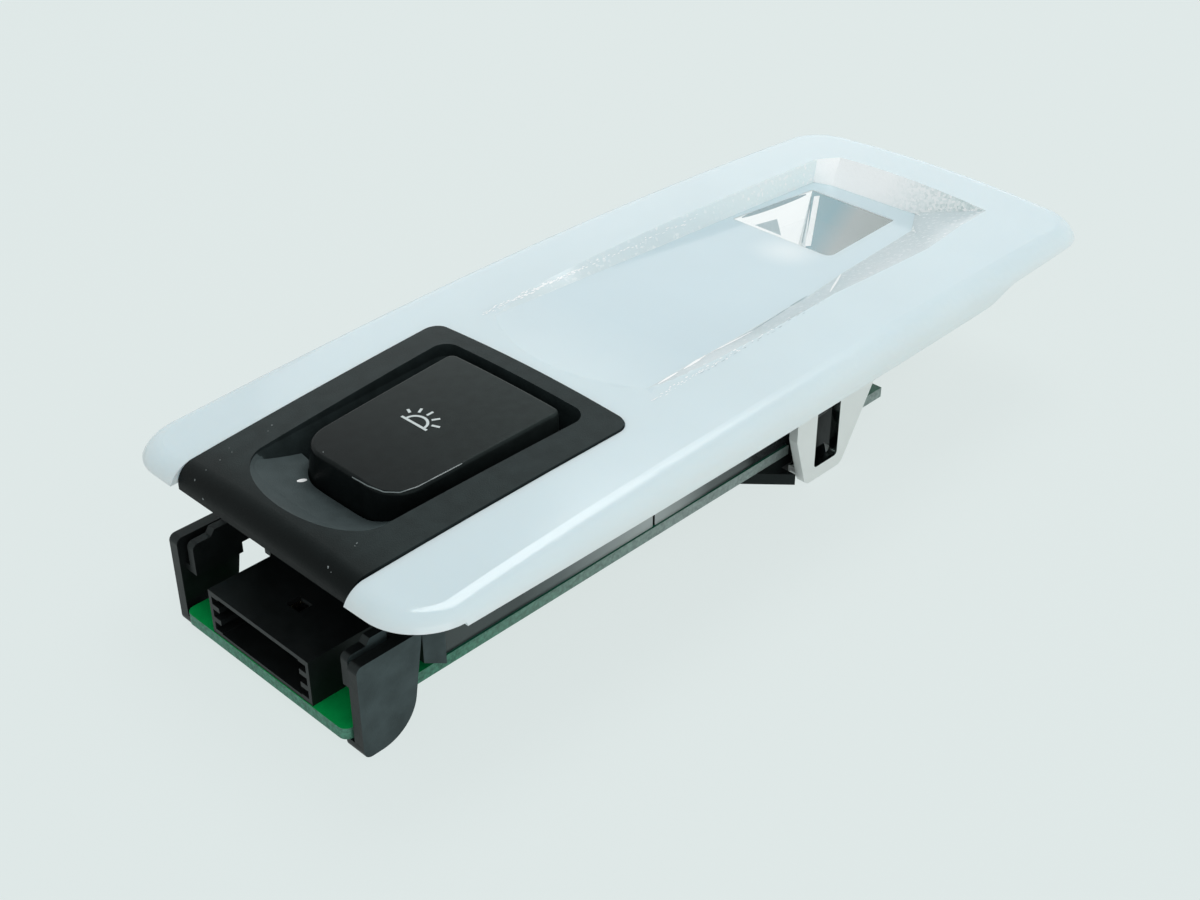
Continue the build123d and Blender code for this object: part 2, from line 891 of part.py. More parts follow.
# Connector header: an open socket with three keying grooves in each side wall and a latch slot
connector_face = station(connector_front)
socket_depth = connector_depth - connector_back
socket_bottom = board_top + connector_floor
socket_height = connector_height - connector_floor - connector_roof
socket_middle = socket_bottom + socket_height / 2
pin_level = board_top + pin_height
with BuildPart() as connector_header:
    with BuildSketch(Plane.YZ.offset(connector_face)):
        with Locations((0, board_top + connector_height / 2)):
            Rectangle(2 * connector_half, connector_height)
    extrude(amount=connector_depth)
    with BuildSketch(Plane.YZ.offset(connector_face)):
        with Locations((0, socket_middle)):
            Rectangle(2 * (connector_half - connector_wall), socket_height)
        with Locations([(0, socket_middle + groove) for groove in (-key_pitch, 0, key_pitch)]):
            Rectangle(2 * (connector_half - connector_wall + key_depth), key_height)
    extrude(amount=socket_depth, mode=Mode.SUBTRACT)
    with BuildSketch(Plane.YZ.offset(connector_face + socket_depth)):
        with Locations([(across, pin_level) for across in pin_places]):
            Rectangle(pin_size + 2 * pin_gap, pin_size + 2 * pin_gap)
    extrude(amount=connector_back, mode=Mode.SUBTRACT)
    with BuildSketch(Plane.XY.offset(board_top + connector_height)):
        with Locations((station(latch_slot_station), latch_slot_middle)):
            Rectangle(latch_slot_length, latch_slot_width)
    extrude(amount=-connector_roof, mode=Mode.SUBTRACT)
connector_header.part.label = "connector_header"

# Pins: blades in the socket that turn down behind the header and through the board
with BuildPart() as connector_pins:
    for across in pin_places:
        with BuildSketch(Plane.XZ.offset(-across + pin_size / 2)):
            with BuildLine():
                Polyline(
                    (connector_face + socket_depth - pin_reach, pin_level - pin_size / 2),
                    (pin_x - pin_size / 2, pin_level - pin_size / 2),
                    (pin_x - pin_size / 2, board_bottom - pin_tail),
                    (pin_x + pin_size / 2, board_bottom - pin_tail),
                    (pin_x + pin_size / 2, pin_level + pin_size / 2),
                    (connector_face + socket_depth - pin_reach, pin_level + pin_size / 2),
                    close=True,
                )
            make_face()
        extrude(amount=-pin_size)
connector_pins.part.label = "connector_pins"

# Switch housing: side walls on the board, a flange for the lens and bezel, clips and hooks
wall_length = housing_rear - housing_front
clip_inner = clip_outer - clip_thickness
toe_top = board_bottom - toe_gap
hook_inner = board_half + board_side_gap
hook_arm_middle = (hook_arm_front + hook_rear) / 2
nose_middle = (leg_window_front + leg_window_rear) / 2
with BuildPart() as switch_housing:
    # Side walls
    with BuildSketch(Plane.XY.offset(board_top)):
        with Locations((station(housing_front + wall_length / 2), 0)):
            Rectangle(wall_length, 2 * housing_half)
            Rectangle(wall_length, 2 * (housing_half - housing_wall), mode=Mode.SUBTRACT)
    extrude(amount=flange_bottom - board_top)
    # Flange with its opening for the button and the light
    with BuildSketch(Plane.XY.offset(flange_bottom)):
        with Locations((station((flange_front + flange_rear) / 2), 0)):
            RectangleRounded(flange_rear - flange_front, 2 * flange_half, flange_corner)
        with Locations((station((flange_opening_front + flange_opening_rear) / 2), 0)):
            Rectangle(
                flange_opening_rear - flange_opening_front, 2 * flange_opening_half, mode=Mode.SUBTRACT
            )
    extrude(amount=flange_top - flange_bottom)
    # Front wall above the connector
    with BuildSketch(Plane.YZ.offset(station(housing_front))):
        with Locations((0, (housing_front_bottom + flange_top) / 2)):
            Rectangle(2 * housing_half, flange_top - housing_front_bottom)
    extrude(amount=housing_wall)
    # Gussets under the flange
    for gusset_station in gusset_stations:
        with BuildSketch(Plane.YZ.offset(station(gusset_station) - gusset_thickness / 2)):
            for side in (1, -1):
                with BuildLine():
                    Polyline(
                        (side * (housing_half - housing_wall / 2), flange_bottom),
                        (side * gusset_outer, flange_bottom),
                        (side * (housing_half - housing_wall / 2), flange_bottom - gusset_depth),
                        close=True,
                    )
                make_face()
        extrude(amount=gusset_thickness)
    # The side walls stop short of the front above the board
    with BuildSketch(Plane.XY.offset(board_top)):
        with Locations((station((housing_front + plate_end) / 2), 0)):
            Rectangle(plate_end - housing_front, 2 * housing_half)
    extrude(amount=tray_bottom - board_top, mode=Mode.SUBTRACT)
    # Near clips: a hanging plate with a rounded heel and a toe under the board
    for side in (1, -1):
        with BuildSketch(Plane.XZ.offset(-side * clip_outer)) as clip_plan:
            with BuildLine():
                Polyline(
                    (station(clip_front), 0),
                    (station(clip_rear), 0),
                    (station(clip_rear_top), clip_top),
                    (station(clip_front), clip_top),
                    close=True,
                )
            make_face()
            fillet(clip_plan.vertices().sort_by_distance((station(clip_rear), 0, 0))[0], clip_heel_radius)
            fillet(clip_plan.vertices().sort_by_distance((station(clip_front), 0, 0))[0], clip_tip_radius)
            top_corner = clip_plan.vertices().sort_by_distance((station(clip_front), clip_top, 0))[0]
            fillet(top_corner, clip_top_radius)
        extrude(amount=side * clip_thickness)
        with BuildSketch(Plane.XZ.offset(-side * clip_outer)) as toe_plan:
            with BuildLine():
                Polyline(
                    (station(clip_front), 0),
                    (station(clip_front + toe_length), 0),
                    (station(clip_front + toe_length), toe_top),
                    (station(clip_front), toe_top),
                    close=True,
                )
            make_face()
            fillet(toe_plan.vertices().group_by(Axis.Y)[0], toe_radius)
        extrude(amount=side * (clip_outer - toe_inner))
        # Inner plate with a stepped top, and the tray's floor and rear wall
        with BuildSketch(Plane.XZ.offset(-side * (tray_inner + tray_wall))) as tray_plan:
            with BuildLine():
                Polyline(
                    (station(tray_front), tray_bottom),
                    (station(tray_rear), tray_bottom),
                    (station(tray_rear), arm_bottom),
                    (station(plate_front), arm_bottom),
                    (station(plate_front), plate_front_bottom),
                    (station(plate_end), plate_end_bottom),
                    (station(plate_end), flange_bottom),
                    (station(arm_rise), flange_bottom),
                    (station(arm_rise), tray_top),
                    (station(tray_step_end), tray_top),
                    (station(tray_step_start), tray_front_top),
                    (station(tray_front), tray_front_top),
                    close=True,
                )
            make_face()
            tray_tip = tray_plan.vertices().sort_by_distance((station(tray_front), tray_front_top, 0))[0]
            fillet(tray_tip, tray_corner)
        extrude(amount=side * tray_wall)
        with BuildSketch(Plane.XY.offset(tray_bottom)):
            with Locations((station((tray_front + tray_rear) / 2), side * (tray_inner + clip_inner) / 2)):
                Rectangle(tray_rear - tray_front, clip_inner - tray_inner)
        extrude(amount=tray_floor)
        with BuildSketch(Plane.XY.offset(tray_bottom)):
            with Locations((station(tray_rear - tray_wall / 2), side * (tray_inner + clip_inner) / 2)):
                Rectangle(tray_wall, clip_inner - tray_inner)
        extrude(amount=clip_top - tray_bottom)
    # Rear hooks: arms beside the board, slanted toes below it and noses for the loops
    for side in (1, -1):
        with BuildSketch(Plane.XY):
            with Locations((station(hook_arm_middle), side * (hook_inner + hook_outer) / 2)):
                Rectangle(hook_rear - hook_arm_front, hook_outer - hook_inner)
        extrude(amount=flange_bottom)
        with BuildSketch(Plane.XY.offset(board_top)):
            with Locations((station(hook_arm_middle), side * (housing_half + hook_inner) / 2)):
                Rectangle(hook_rear - hook_arm_front, hook_inner - housing_half)
        extrude(amount=flange_bottom - board_top)
        with BuildSketch(Plane.XY):
            with BuildLine():
                Polyline(
                    (station(hook_front), side * hook_toe_inner),
                    (station(hook_front), side * hook_toe_front),
                    (station(hook_tip_station), side * hook_tip),
                    (station(hook_tip_station), side * hook_outer),
                    (station(hook_rear), side * hook_outer),
                    (station(hook_rear), side * hook_toe_inner),
                    close=True,
                )
            make_face()
        extrude(amount=toe_top)
        with BuildSketch(Plane.YZ.offset(station(nose_middle) - hook_nose_width / 2)):
            with BuildLine():
                Polyline(
                    (side * hook_outer, hook_nose_bottom),
                    (side * (hook_outer + hook_nose_reach), hook_nose_top - hook_nose_land),
                    (side * (hook_outer + hook_nose_reach), hook_nose_top),
                    (side * hook_outer, hook_nose_top),
                    close=True,
                )
            make_face()
        extrude(amount=hook_nose_width)
    # Sockets for the bezel's pegs
    with BuildSketch(Plane.XY.offset(flange_bottom)):
        with Locations(peg_places):
            Circle(peg_diameter / 2 + fit_gap)
    extrude(amount=flange_top - flange_bottom, mode=Mode.SUBTRACT)
    # Fine joint lines on the outside of the walls
    with BuildSketch(Plane.XY.offset(board_top)):
        with Locations((station(panel_groove_station), 0)):
            Rectangle(panel_groove, 2 * housing_half)
            Rectangle(panel_groove, 2 * (housing_half - panel_groove), mode=Mode.SUBTRACT)
    extrude(amount=flange_bottom - board_top, mode=Mode.SUBTRACT)
switch_housing.part.label = "switch_housing"

# Reflector: a bright cup under the window, a flange, side walls and two loop legs
cup_plane = floor_plane.offset(-recess_skin - window_lip_thickness - cup_clearance)
reflector_length = reflector_rear - reflector_front
led_x = station(window_middle)


def cup_space(grow):
    """The funnel of the cup, or the block of its walls when grown."""
    with BuildPart() as funnel:
        with BuildSketch(cup_plane) as mouth:
            add(window_outline(grow))
        with BuildSketch(Plane.XY.offset(board_top)) as foot:
            with Locations((led_x, window_across)):
                Rectangle(cup_foot + 2 * grow, cup_foot + 2 * grow)
        loft(sections=[foot.sketch, mouth.sketch], ruled=True)
    return funnel.part


cup_block = cup_space(cup_wall)
cup_hollow = cup_space(0.0)
with BuildPart() as reflector:
    with BuildSketch(Plane.XY.offset(flange_bottom)) as reflector_plan:
        with Locations((station(reflector_front + reflector_length / 2), 0)):
            Rectangle(reflector_length, 2 * flange_half)
        fillet(reflector_plan.vertices().group_by(Axis.X)[-1], flange_corner)
    extrude(amount=flange_top - flange_bottom)
    # Far wall
    with BuildSketch(Plane.XY.offset(reflector_skirt_bottom)):
        with Locations((station(reflector_rear - reflector_wall / 2), 0)):
            Rectangle(reflector_wall, 2 * reflector_outer)
    extrude(amount=flange_bottom - reflector_skirt_bottom)
    # Side walls that run down into the loop legs
    for side in (1, -1):
        with BuildSketch(Plane.XZ.offset(-side * reflector_outer)) as leg_plan:
            with BuildLine():
                Polyline(
                    (station(reflector_front), flange_bottom),
                    (station(reflector_front), reflector_front_bottom),
                    (station(leg_front), 0),
                    (station(leg_rear), 0),
                    (station(leg_rear + leg_flare), reflector_skirt_bottom),
                    (station(reflector_rear), reflector_skirt_bottom),
                    (station(reflector_rear), flange_bottom),
                    close=True,
                )
            make_face()
            flare_corner = leg_plan.vertices().sort_by_distance(
                (station(leg_rear + leg_flare), reflector_skirt_bottom, 0)
            )[0]
            fillet(flare_corner, leg_flare_radius)
            fillet(leg_plan.vertices().group_by(Axis.Y)[0], leg_tip_radius)
            with Locations((station(nose_middle), (leg_window_bottom + leg_window_top) / 2)):
                RectangleRounded(
                    leg_window_rear - leg_window_front,
                    leg_window_top - leg_window_bottom,
                    leg_window_corner,
                    mode=Mode.SUBTRACT,
                )
        extrude(amount=side * reflector_wall)
        with BuildSketch(Plane.XZ.offset(-side * reflector_outer)) as foot_plan:
            with Locations((station((leg_front + leg_rear) / 2), leg_window_bottom / 2)):
                Rectangle(leg_rear - leg_front, leg_window_bottom)
            fillet(foot_plan.vertices().group_by(Axis.Y)[0], leg_tip_radius)
        extrude(amount=side * (reflector_outer - leg_foot_inner))
    add(cup_block)
    add(cup_hollow, mode=Mode.SUBTRACT)
reflector.part.label = "reflector"

# Reading light source: a flat base with a clear dome
with BuildPart() as reading_led:
    with BuildSketch(Plane.XY.offset(board_top)):
        with Locations((led_x, window_across)):
            Rectangle(reading_led_size, reading_led_size)
    extrude(amount=reading_led_base)
    dome_middle = (led_x, window_across, board_top + reading_led_base)
    with BuildSketch(Plane(dome_middle, x_dir=(1, 0, 0), z_dir=(0, -1, 0))):
        with BuildLine():
            JernArc((reading_led_dome / 2, 0), (0, 1), reading_led_dome / 2, 90)
            Polyline((0, reading_led_dome / 2), (0, 0), (reading_led_dome / 2, 0))
        make_face()
    revolve(axis=Axis(dome_middle, (0, 0, 1)))
reading_led.part.label = "reading_led"


def small_lights(places):
    """Small light sources with a round bowl in their tops, standing on the board."""
    with BuildPart() as lights:
        with BuildSketch(Plane.XY.offset(board_top)):
            with Locations(places):
                Rectangle(small_led_length, small_led_width)
        extrude(amount=small_led_height)
        with BuildSketch(Plane.XY.offset(board_top + small_led_height)):
            with Locations(places):
                Circle(small_led_bowl / 2)
        extrude(amount=-small_led_bowl_depth, mode=Mode.SUBTRACT)
    return lights.part


# Light source of the button's sign
with BuildPart() as symbol_led:
    add(small_lights([(symbol_x, symbol_offset)]))
symbol_led.part.label = "symbol_led"

# Light sources of the milky frame
frame_led_places = []
for led_station in frame_led_stations:
    frame_led_places.append((station(led_station), frame_led_offset))
    frame_led_places.append((station(led_station), -frame_led_offset))
with BuildPart() as frame_leds:
    add(small_lights(frame_led_places))
frame_leds.part.label = "frame_leds"

# Driver chip with bent leads along both long sides
chip_x = station(chip_station)
chip_base = board_top + chip_standoff
lead_level = chip_base + chip_height / 2
with BuildPart() as driver_chip:
    with BuildSketch(Plane.XY.offset(chip_base)):
        with Locations((chip_x, 0)):
            Rectangle(chip_length, chip_width)
    extrude(amount=chip_height)
    chamfer(driver_chip.faces().sort_by(Axis.Z)[-1].edges(), chip_standoff)
driver_chip.part.label = "driver_chip"

with BuildPart() as driver_chip_leads:
    for index in range(chip_leads):
        lead_x = chip_x + (index - (chip_leads - 1) / 2) * lead_pitch
        for side in (1, -1):
            root = side * chip_width / 2
            bend = root + side * lead_reach / 2
            tip = root + side * lead_reach
            with BuildSketch(Plane.YZ.offset(lead_x - lead_width / 2)):
                with BuildLine():
                    Polyline(
                        (root, lead_level),
                        (bend + side * lead_thickness, lead_level),
                        (bend + side * lead_thickness, board_top + lead_thickness),
                        (tip, board_top + lead_thickness),
                        (tip, board_top),
                        (bend, board_top),
                        (bend, lead_level - lead_thickness),
                        (root, lead_level - lead_thickness),
                        close=True,
                    )
                make_face()
            extrude(amount=lead_width)
driver_chip_leads.part.label = "driver_chip_leads"


def board_blocks(places, size):
    """Plain block components standing on the board."""
    length, width, height = size
    with BuildPart() as blocks:
        with BuildSketch(Plane.XY.offset(board_top)):
            with Locations([(station(distance), across) for distance, across in places]):
                Rectangle(length, width)
        extrude(amount=height)
    return blocks.part


# Resistors
with BuildPart() as resistors:
    add(board_blocks(resistor_places, resistor_size))
resistors.part.label = "resistors"

# Capacitors
with BuildPart() as capacitors:
    add(board_blocks(capacitor_places, capacitor_size))
capacitors.part.label = "capacitors"

# Diode behind the connector
with BuildPart() as protection_diode:
    add(board_blocks([diode_place], diode_size))
protection_diode.part.label = "protection_diode"

pieces = [
    lens_frame,
    reading_window,
    switch_bezel,
    push_button,
    symbol_light_pipe,
    switch_base,
    switch_cover,
    switch_stem,
    switch_terminals,
    circuit_board,
    connector_header,
    connector_pins,
    switch_housing,
    reflector,
    reading_led,
    symbol_led,
    frame_leds,
    driver_chip,
    driver_chip_leads,
    resistors,
    capacitors,
    protection_diode,
]
os.makedirs("parts", exist_ok=True)
for piece in pieces:
    export_step(piece.part, f"parts/{piece.part.label}.step")
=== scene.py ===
"""Looks of the car dome light: materials, the sign on the button, glints, dust, light and camera."""
import math
import random

import bpy
from mathutils import Matrix, Vector
from mathutils.bvhtree import BVHTree


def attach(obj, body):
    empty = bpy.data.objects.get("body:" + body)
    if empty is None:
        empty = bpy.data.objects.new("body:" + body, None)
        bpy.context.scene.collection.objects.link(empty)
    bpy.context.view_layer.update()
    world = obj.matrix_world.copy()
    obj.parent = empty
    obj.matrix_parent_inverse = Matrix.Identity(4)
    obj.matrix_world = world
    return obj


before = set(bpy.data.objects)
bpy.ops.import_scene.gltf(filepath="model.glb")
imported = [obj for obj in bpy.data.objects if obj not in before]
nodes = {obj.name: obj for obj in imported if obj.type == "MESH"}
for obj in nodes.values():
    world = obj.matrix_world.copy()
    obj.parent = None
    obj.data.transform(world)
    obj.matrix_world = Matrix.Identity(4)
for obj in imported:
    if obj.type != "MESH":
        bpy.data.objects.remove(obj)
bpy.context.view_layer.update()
scene = bpy.context.scene

# Stations run along the lamp from its plug socket, in millimetres, and the frame's origin is at its middle
MM = 0.001
HALF_LENGTH = 68.0
ABOVE_LAMP = 60.0

# Crowned face of the lens: its top point and the doubled radii of its two arcs, in millimetres
CROWN_STATION = 80.0
CROWN_TOP = 26.4
CROWN_ALONG = 2160.0
CROWN_ACROSS = 500.0

# Floor of the recess, a plane that falls towards the reading light
RECESS_NEAR = 46.6
RECESS_TOP = 25.8835
RECESS_SLOPE = 0.056


def place(station, across, height):
    """Point in metres from a station along the lamp, a distance across it and a height, in millimetres."""
    return Vector(((station - HALF_LENGTH) * MM, across * MM, height * MM))


def crown(station, across):
    """Height in millimetres of the lens frame's crowned face."""
    return CROWN_TOP - (station - CROWN_STATION) ** 2 / CROWN_ALONG - across**2 / CROWN_ACROSS


def recess_floor(station):
    """Height in millimetres of the recess floor."""
    return RECESS_TOP - RECESS_SLOPE * (station - RECESS_NEAR)


# Camera at the photo's place, with its turns in degrees, its place in metres and the photo's size in pixels

YAW = 44.4618
PITCH = 33.2253
ROLL = -0.1363
EYE = Vector((-0.15119, -0.13776, 0.13622))
FOCAL_LENGTH = 51.586
SENSOR_WIDTH = 36.0
PHOTO_WIDTH = 1200.0
PHOTO_HEIGHT = 900.0
PIXELS_AHEAD = PHOTO_WIDTH * FOCAL_LENGTH / SENSOR_WIDTH

yaw = math.radians(YAW)
pitch = math.radians(PITCH)
roll = math.radians(ROLL)
ahead = Vector((math.cos(pitch) * math.cos(yaw), math.cos(pitch) * math.sin(yaw), -math.sin(pitch)))
level = ahead.cross(Vector((0, 0, 1))).normalized()
upward = level.cross(ahead)
right = level * math.cos(roll) + upward * math.sin(roll)
up = upward * math.cos(roll) - level * math.sin(roll)

photo_camera = bpy.data.cameras.new("photo_camera")
photo_camera.sensor_width = SENSOR_WIDTH
photo_camera.lens = FOCAL_LENGTH
photo_camera.clip_start = 0.01
photo_camera.clip_end = 20.0
eye = bpy.data.objects.new("photo_camera", photo_camera)
scene.collection.objects.link(eye)
eye.matrix_world = Matrix.Translation(EYE) @ Matrix((right, up, -ahead)).transposed().to_4x4()
scene.camera = eye

# Places on the surfaces of nodes and of some added pieces

trees = {}


def tree_of(node):
    """Ray tree of a CAD node's mesh, made once."""
    if node not in trees:
        mesh = nodes[node].data
        corners = [vertex.co.copy() for vertex in mesh.vertices]
        trees[node] = BVHTree.FromPolygons(corners, [tuple(face.vertices) for face in mesh.polygons])
    return trees[node]


def under_pixel(node, x, y):
    """Point and normal of a node's surface that the photo shows at a pixel."""
    aside = right * (x - PHOTO_WIDTH / 2) + up * (PHOTO_HEIGHT / 2 - y)
    sight = (ahead * PIXELS_AHEAD + aside).normalized()
    return tree_of(node).ray_cast(EYE, sight)[:2]


def on_top(node, station, across, lift):
    """Point a little above a node's upper surface."""
    start = place(station, across, ABOVE_LAMP)
    point = tree_of(node).ray_cast(start, Vector((0, 0, -1)))[0]
    return point + Vector((0, 0, lift * MM))


# Materials: the darker and lighter places of a mottled colour, and how much finer than it the gloss varies

DARKER_AT = 0.3
LIGHTER_AT = 0.7
GLOSS_FINER = 2.0


def shades(colour, spread):
    """Ramp stops a little darker and a little lighter than a colour."""
    darker = tuple(part * (1.0 - spread) for part in colour)
    lighter = tuple(min(1.0, part * (1.0 + spread)) for part in colour)
    return ((DARKER_AT, darker), (LIGHTER_AT, lighter))


class Finish:
    """A material whose colour, roughness and fine relief follow patterns in the part's own space."""

    def __init__(self, name, **sockets):
        self.made = bpy.data.materials.new(name)
        self.made.use_nodes = True
        self.tree = self.made.node_tree
        self.shader = self.tree.nodes["Principled BSDF"]
        for socket, value in sockets.items():
            self.shader.inputs[socket.replace("_", " ")].default_value = value
        self.space = self.tree.nodes.new("ShaderNodeTexCoord").outputs["Object"]

    def node(self, kind, inputs=(), **settings):
        """A node with its settings, and its inputs given as values or as links from other nodes."""
        made = self.tree.nodes.new(kind)
        for setting, value in settings.items():
            setattr(made, setting, value)
        for socket, value in inputs:
            if isinstance(value, bpy.types.NodeSocket):
                self.tree.links.new(value, made.inputs[socket])
            else:
                made.inputs[socket].default_value = value
        return made

    def vector(self, operation, first, second):
        """A node with an operation on two vectors."""
        return self.node("ShaderNodeVectorMath", ((0, first), (1, second)), operation=operation)

    def combined(self, operation, first, second):
        """Sum or product of two values."""
        return self.node("ShaderNodeMath", ((0, first), (1, second)), operation=operation).outputs[0]

    def noise(self, scale, detail=2.0):
        """Noise with the given number of cells per metre."""
        inputs = (("Vector", self.space), ("Scale", scale), ("Detail", detail))
        return self.node("ShaderNodeTexNoise", inputs).outputs["Fac"]

    def cells(self, scale):
        """A random value in each small cell."""
        inputs = (("Vector", self.space), ("Scale", scale))
        return self.node("ShaderNodeTexVoronoi", inputs).outputs["Color"]

    def between(self, axis, start, end, blend="LINEAR"):
        """From 0 to 1 between two places on an axis, in millimetres."""
        parts = self.node("ShaderNodeSeparateXYZ", (("Vector", self.space),))
        inputs = (("Value", parts.outputs[axis]), ("From Min", start * MM), ("From Max", end * MM))
        return self.node("ShaderNodeMapRange", inputs, interpolation_type=blend).outputs["Result"]

    def along(self, start, end, blend="LINEAR"):
        """From 0 to 1 between two stations."""
        return self.between("X", start - HALF_LENGTH, end - HALF_LENGTH, blend)

    def across(self, start, end):
        """From 0 to 1 between two distances across the lamp."""
        return self.between("Y", start, end)

    def near(self, spot, reach):
        """From 1 at a spot to 0 at a reach in millimetres from it."""
        gap = self.vector("DISTANCE", self.space, spot).outputs["Value"]
        inputs = (("Value", gap), ("From Max", reach * MM), ("To Min", 1.0), ("To Max", 0.0))
        return self.node("ShaderNodeMapRange", inputs, interpolation_type="SMOOTHSTEP").outputs["Result"]

    def below_crown(self, reach):
        """From 0 on the crowned face to 1 at a depth of reach below it, in millimetres."""
        away = self.vector("SUBTRACT", self.space, place(CROWN_STATION, 0.0, CROWN_TOP)).outputs[0]
        squares = self.vector("MULTIPLY", away, away).outputs[0]
        bend = (1.0 / (CROWN_ALONG * MM), 1.0 / (CROWN_ACROSS * MM), 0.0)
        drop = self.vector("DOT_PRODUCT", squares, bend).outputs["Value"]
        parts = self.node("ShaderNodeSeparateXYZ", (("Vector", away),))
        height = self.combined("ADD", parts.outputs["Z"], drop)
        inputs = (("Value", height), ("From Min", 0.0), ("From Max", -reach * MM))
        return self.node("ShaderNodeMapRange", inputs).outputs["Result"]

    def ramp(self, value, stops):
        """Colours at places from 0 to 1 of a value."""
        ramp = self.node("ShaderNodeValToRGB", (("Fac", value),))
        while len(ramp.color_ramp.elements) < len(stops):
            ramp.color_ramp.elements.new(0.5)
        for element, (where, colour) in zip(ramp.color_ramp.elements, stops):
            element.position = where
            element.color = (*colour, 1.0)
        return ramp.outputs["Color"]

    def mottled(self, colour, spread, scale, detail=3.0):
        """A colour with darker and lighter clouds, with the given number of clouds per metre."""
        return self.ramp(self.noise(scale, detail), shades(colour, spread))

    def mix(self, share, first, second):
        """A colour between two, by a share from 0 to 1."""
        share_socket, first_socket, second_socket, colour_output = 0, 6, 7, 2
        inputs = ((share_socket, share), (first_socket, first), (second_socket, second))
        return self.node("ShaderNodeMix", inputs, data_type="RGBA").outputs[colour_output]

    def colour(self, shown):
        """Base colour from another node."""
        self.tree.links.new(shown, self.shader.inputs["Base Color"])

    def roughness(self, value, low, high):
        """Roughness between two limits."""
        reach = self.node("ShaderNodeMapRange", (("Value", value), ("To Min", low), ("To Max", high)))
        self.tree.links.new(reach.outputs["Result"], self.shader.inputs["Roughness"])

    def relief(self, value, depth):
        """Fine relief, with its depth in millimetres."""
        bump = self.node("ShaderNodeBump", (("Strength", 1.0), ("Distance", depth * MM), ("Height", value)))
        self.tree.links.new(bump.outputs["Normal"], self.shader.inputs["Normal"])


def moulding(name, colour, spread, mottle, rough, grain, depth, **sockets):
    """A moulded plastic with mottled colour, uneven gloss and fine grain."""
    finish = Finish(name, **sockets)
    finish.colour(finish.mottled(colour, spread, mottle))
    finish.roughness(finish.noise(mottle * GLOSS_FINER), *rough)
    finish.relief(finish.noise(grain), depth)
    return finish


# Milky lens, glossier at its near end, with painted light making it paler below its crowned face

MILK = dict(Subsurface_Weight=0.3, Subsurface_Scale=0.002, Subsurface_Radius=(0.8, 1.0, 1.1))
LENS = (0.635, 0.755, 0.79)
LENS_EDGE_PAINTED_LIGHT = (0.74, 0.815, 0.82)
LENS_EDGE_DEPTH = 2.4
GLOSS_FADE = (12.0, 44.0)

milky = Finish("milky_lens", **MILK)
milky_top = milky.mottled(LENS, spread=0.02, scale=45.0)
milky_edge_painted_light = milky.mottled(LENS_EDGE_PAINTED_LIGHT, spread=0.015, scale=60.0)
milky.colour(milky.mix(milky.below_crown(LENS_EDGE_DEPTH), milky_top, milky_edge_painted_light))
milky.roughness(milky.along(*GLOSS_FADE, "SMOOTHSTEP"), low=0.10, high=0.26)
milky.relief(milky.noise(scale=900.0), depth=0.002)

# Recess floor, a little bluer, with a soft patch of painted light beside the window

RECESS = (0.565, 0.70, 0.75)
PAINTED_LIGHT_PATCH = (0.9, 0.95, 0.95, 1.0)
PATCH_PIXEL = (786, 251)
PATCH_REACH = 6.5
PATCH_SHARE = 0.45
FLOOR_BLEND = (46.0, 62.0)

patch_spot = under_pixel("lens_frame", *PATCH_PIXEL)[0]
milky_floor = Finish("milky_floor", **MILK)
floor_near = milky_floor.mottled(LENS, spread=0.02, scale=45.0)
floor_deep = milky_floor.mottled(RECESS, spread=0.02, scale=45.0)
floor_tone = milky_floor.mix(milky_floor.along(*FLOOR_BLEND), floor_near, floor_deep)
patch_nearness = milky_floor.near(tuple(patch_spot), PATCH_REACH)
light_patch_share = milky_floor.combined("MULTIPLY", patch_nearness, PATCH_SHARE)
milky_floor.colour(milky_floor.mix(light_patch_share, floor_tone, PAINTED_LIGHT_PATCH))
milky_floor.roughness(milky_floor.noise(scale=150.0), low=0.10, high=0.15)
milky_floor.relief(milky_floor.noise(scale=700.0), depth=0.002)

# Side walls of the recess, with fine prism grain, painted glints in some grain cells, painted light on the
# left wall's far part and painted shade over the right wall

PRISMS = 2400.0
PRISM_START = 0.2
PRISM_BLEND = (83.0, 113.0)


def grainy_wall(name, colour, far_colour, glint_paint, share):
    """A recess wall of the lens with fine prism grain, a share of whose cells is painted as bright glints,
    and near and far colours that paint the light and shade falling on it.
    """
    wall = Finish(name, **MILK)
    plain = wall.mottled(colour, spread=0.02, scale=80.0)
    near_stops = ((PRISM_START, colour), (1.0 - share, colour), (1.0, glint_paint))
    grain = wall.ramp(wall.cells(PRISMS), near_stops)
    near = wall.mix(wall.noise(scale=500.0), plain, grain)
    far_stops = ((PRISM_START, far_colour), (1.0 - share, far_colour), (1.0, glint_paint))
    far = wall.ramp(wall.cells(PRISMS), far_stops)
    wall.colour(wall.mix(wall.along(*PRISM_BLEND), near, far))
    wall.roughness(wall.noise(scale=2000.0), low=0.10, high=0.25)
    wall.relief(wall.cells(PRISMS), depth=0.012)
    return wall


# Left wall: its far colour is painted paler as light, and its palest cells are painted glints
left_wall_painted_light = grainy_wall(
    "left_recess_wall_painted_light",
    colour=(0.64, 0.745, 0.77),
    far_colour=(0.82, 0.92, 0.93),
    glint_paint=(0.98, 1.0, 1.0),
    share=0.25,
)
# Right wall: both its colours are painted darker as shade, and its palest cells are painted glints
right_wall_painted_shade = grainy_wall(
    "right_recess_wall_painted_shade",
    colour=(0.545, 0.635, 0.66),
    far_colour=(0.57, 0.665, 0.69),
    glint_paint=(0.80, 0.86, 0.87),
    share=0.3,
)

# Far wall of the recess, painted bright as lit and smooth at its left, and with coarse crystal grain at its
# right whose palest cells are painted glints

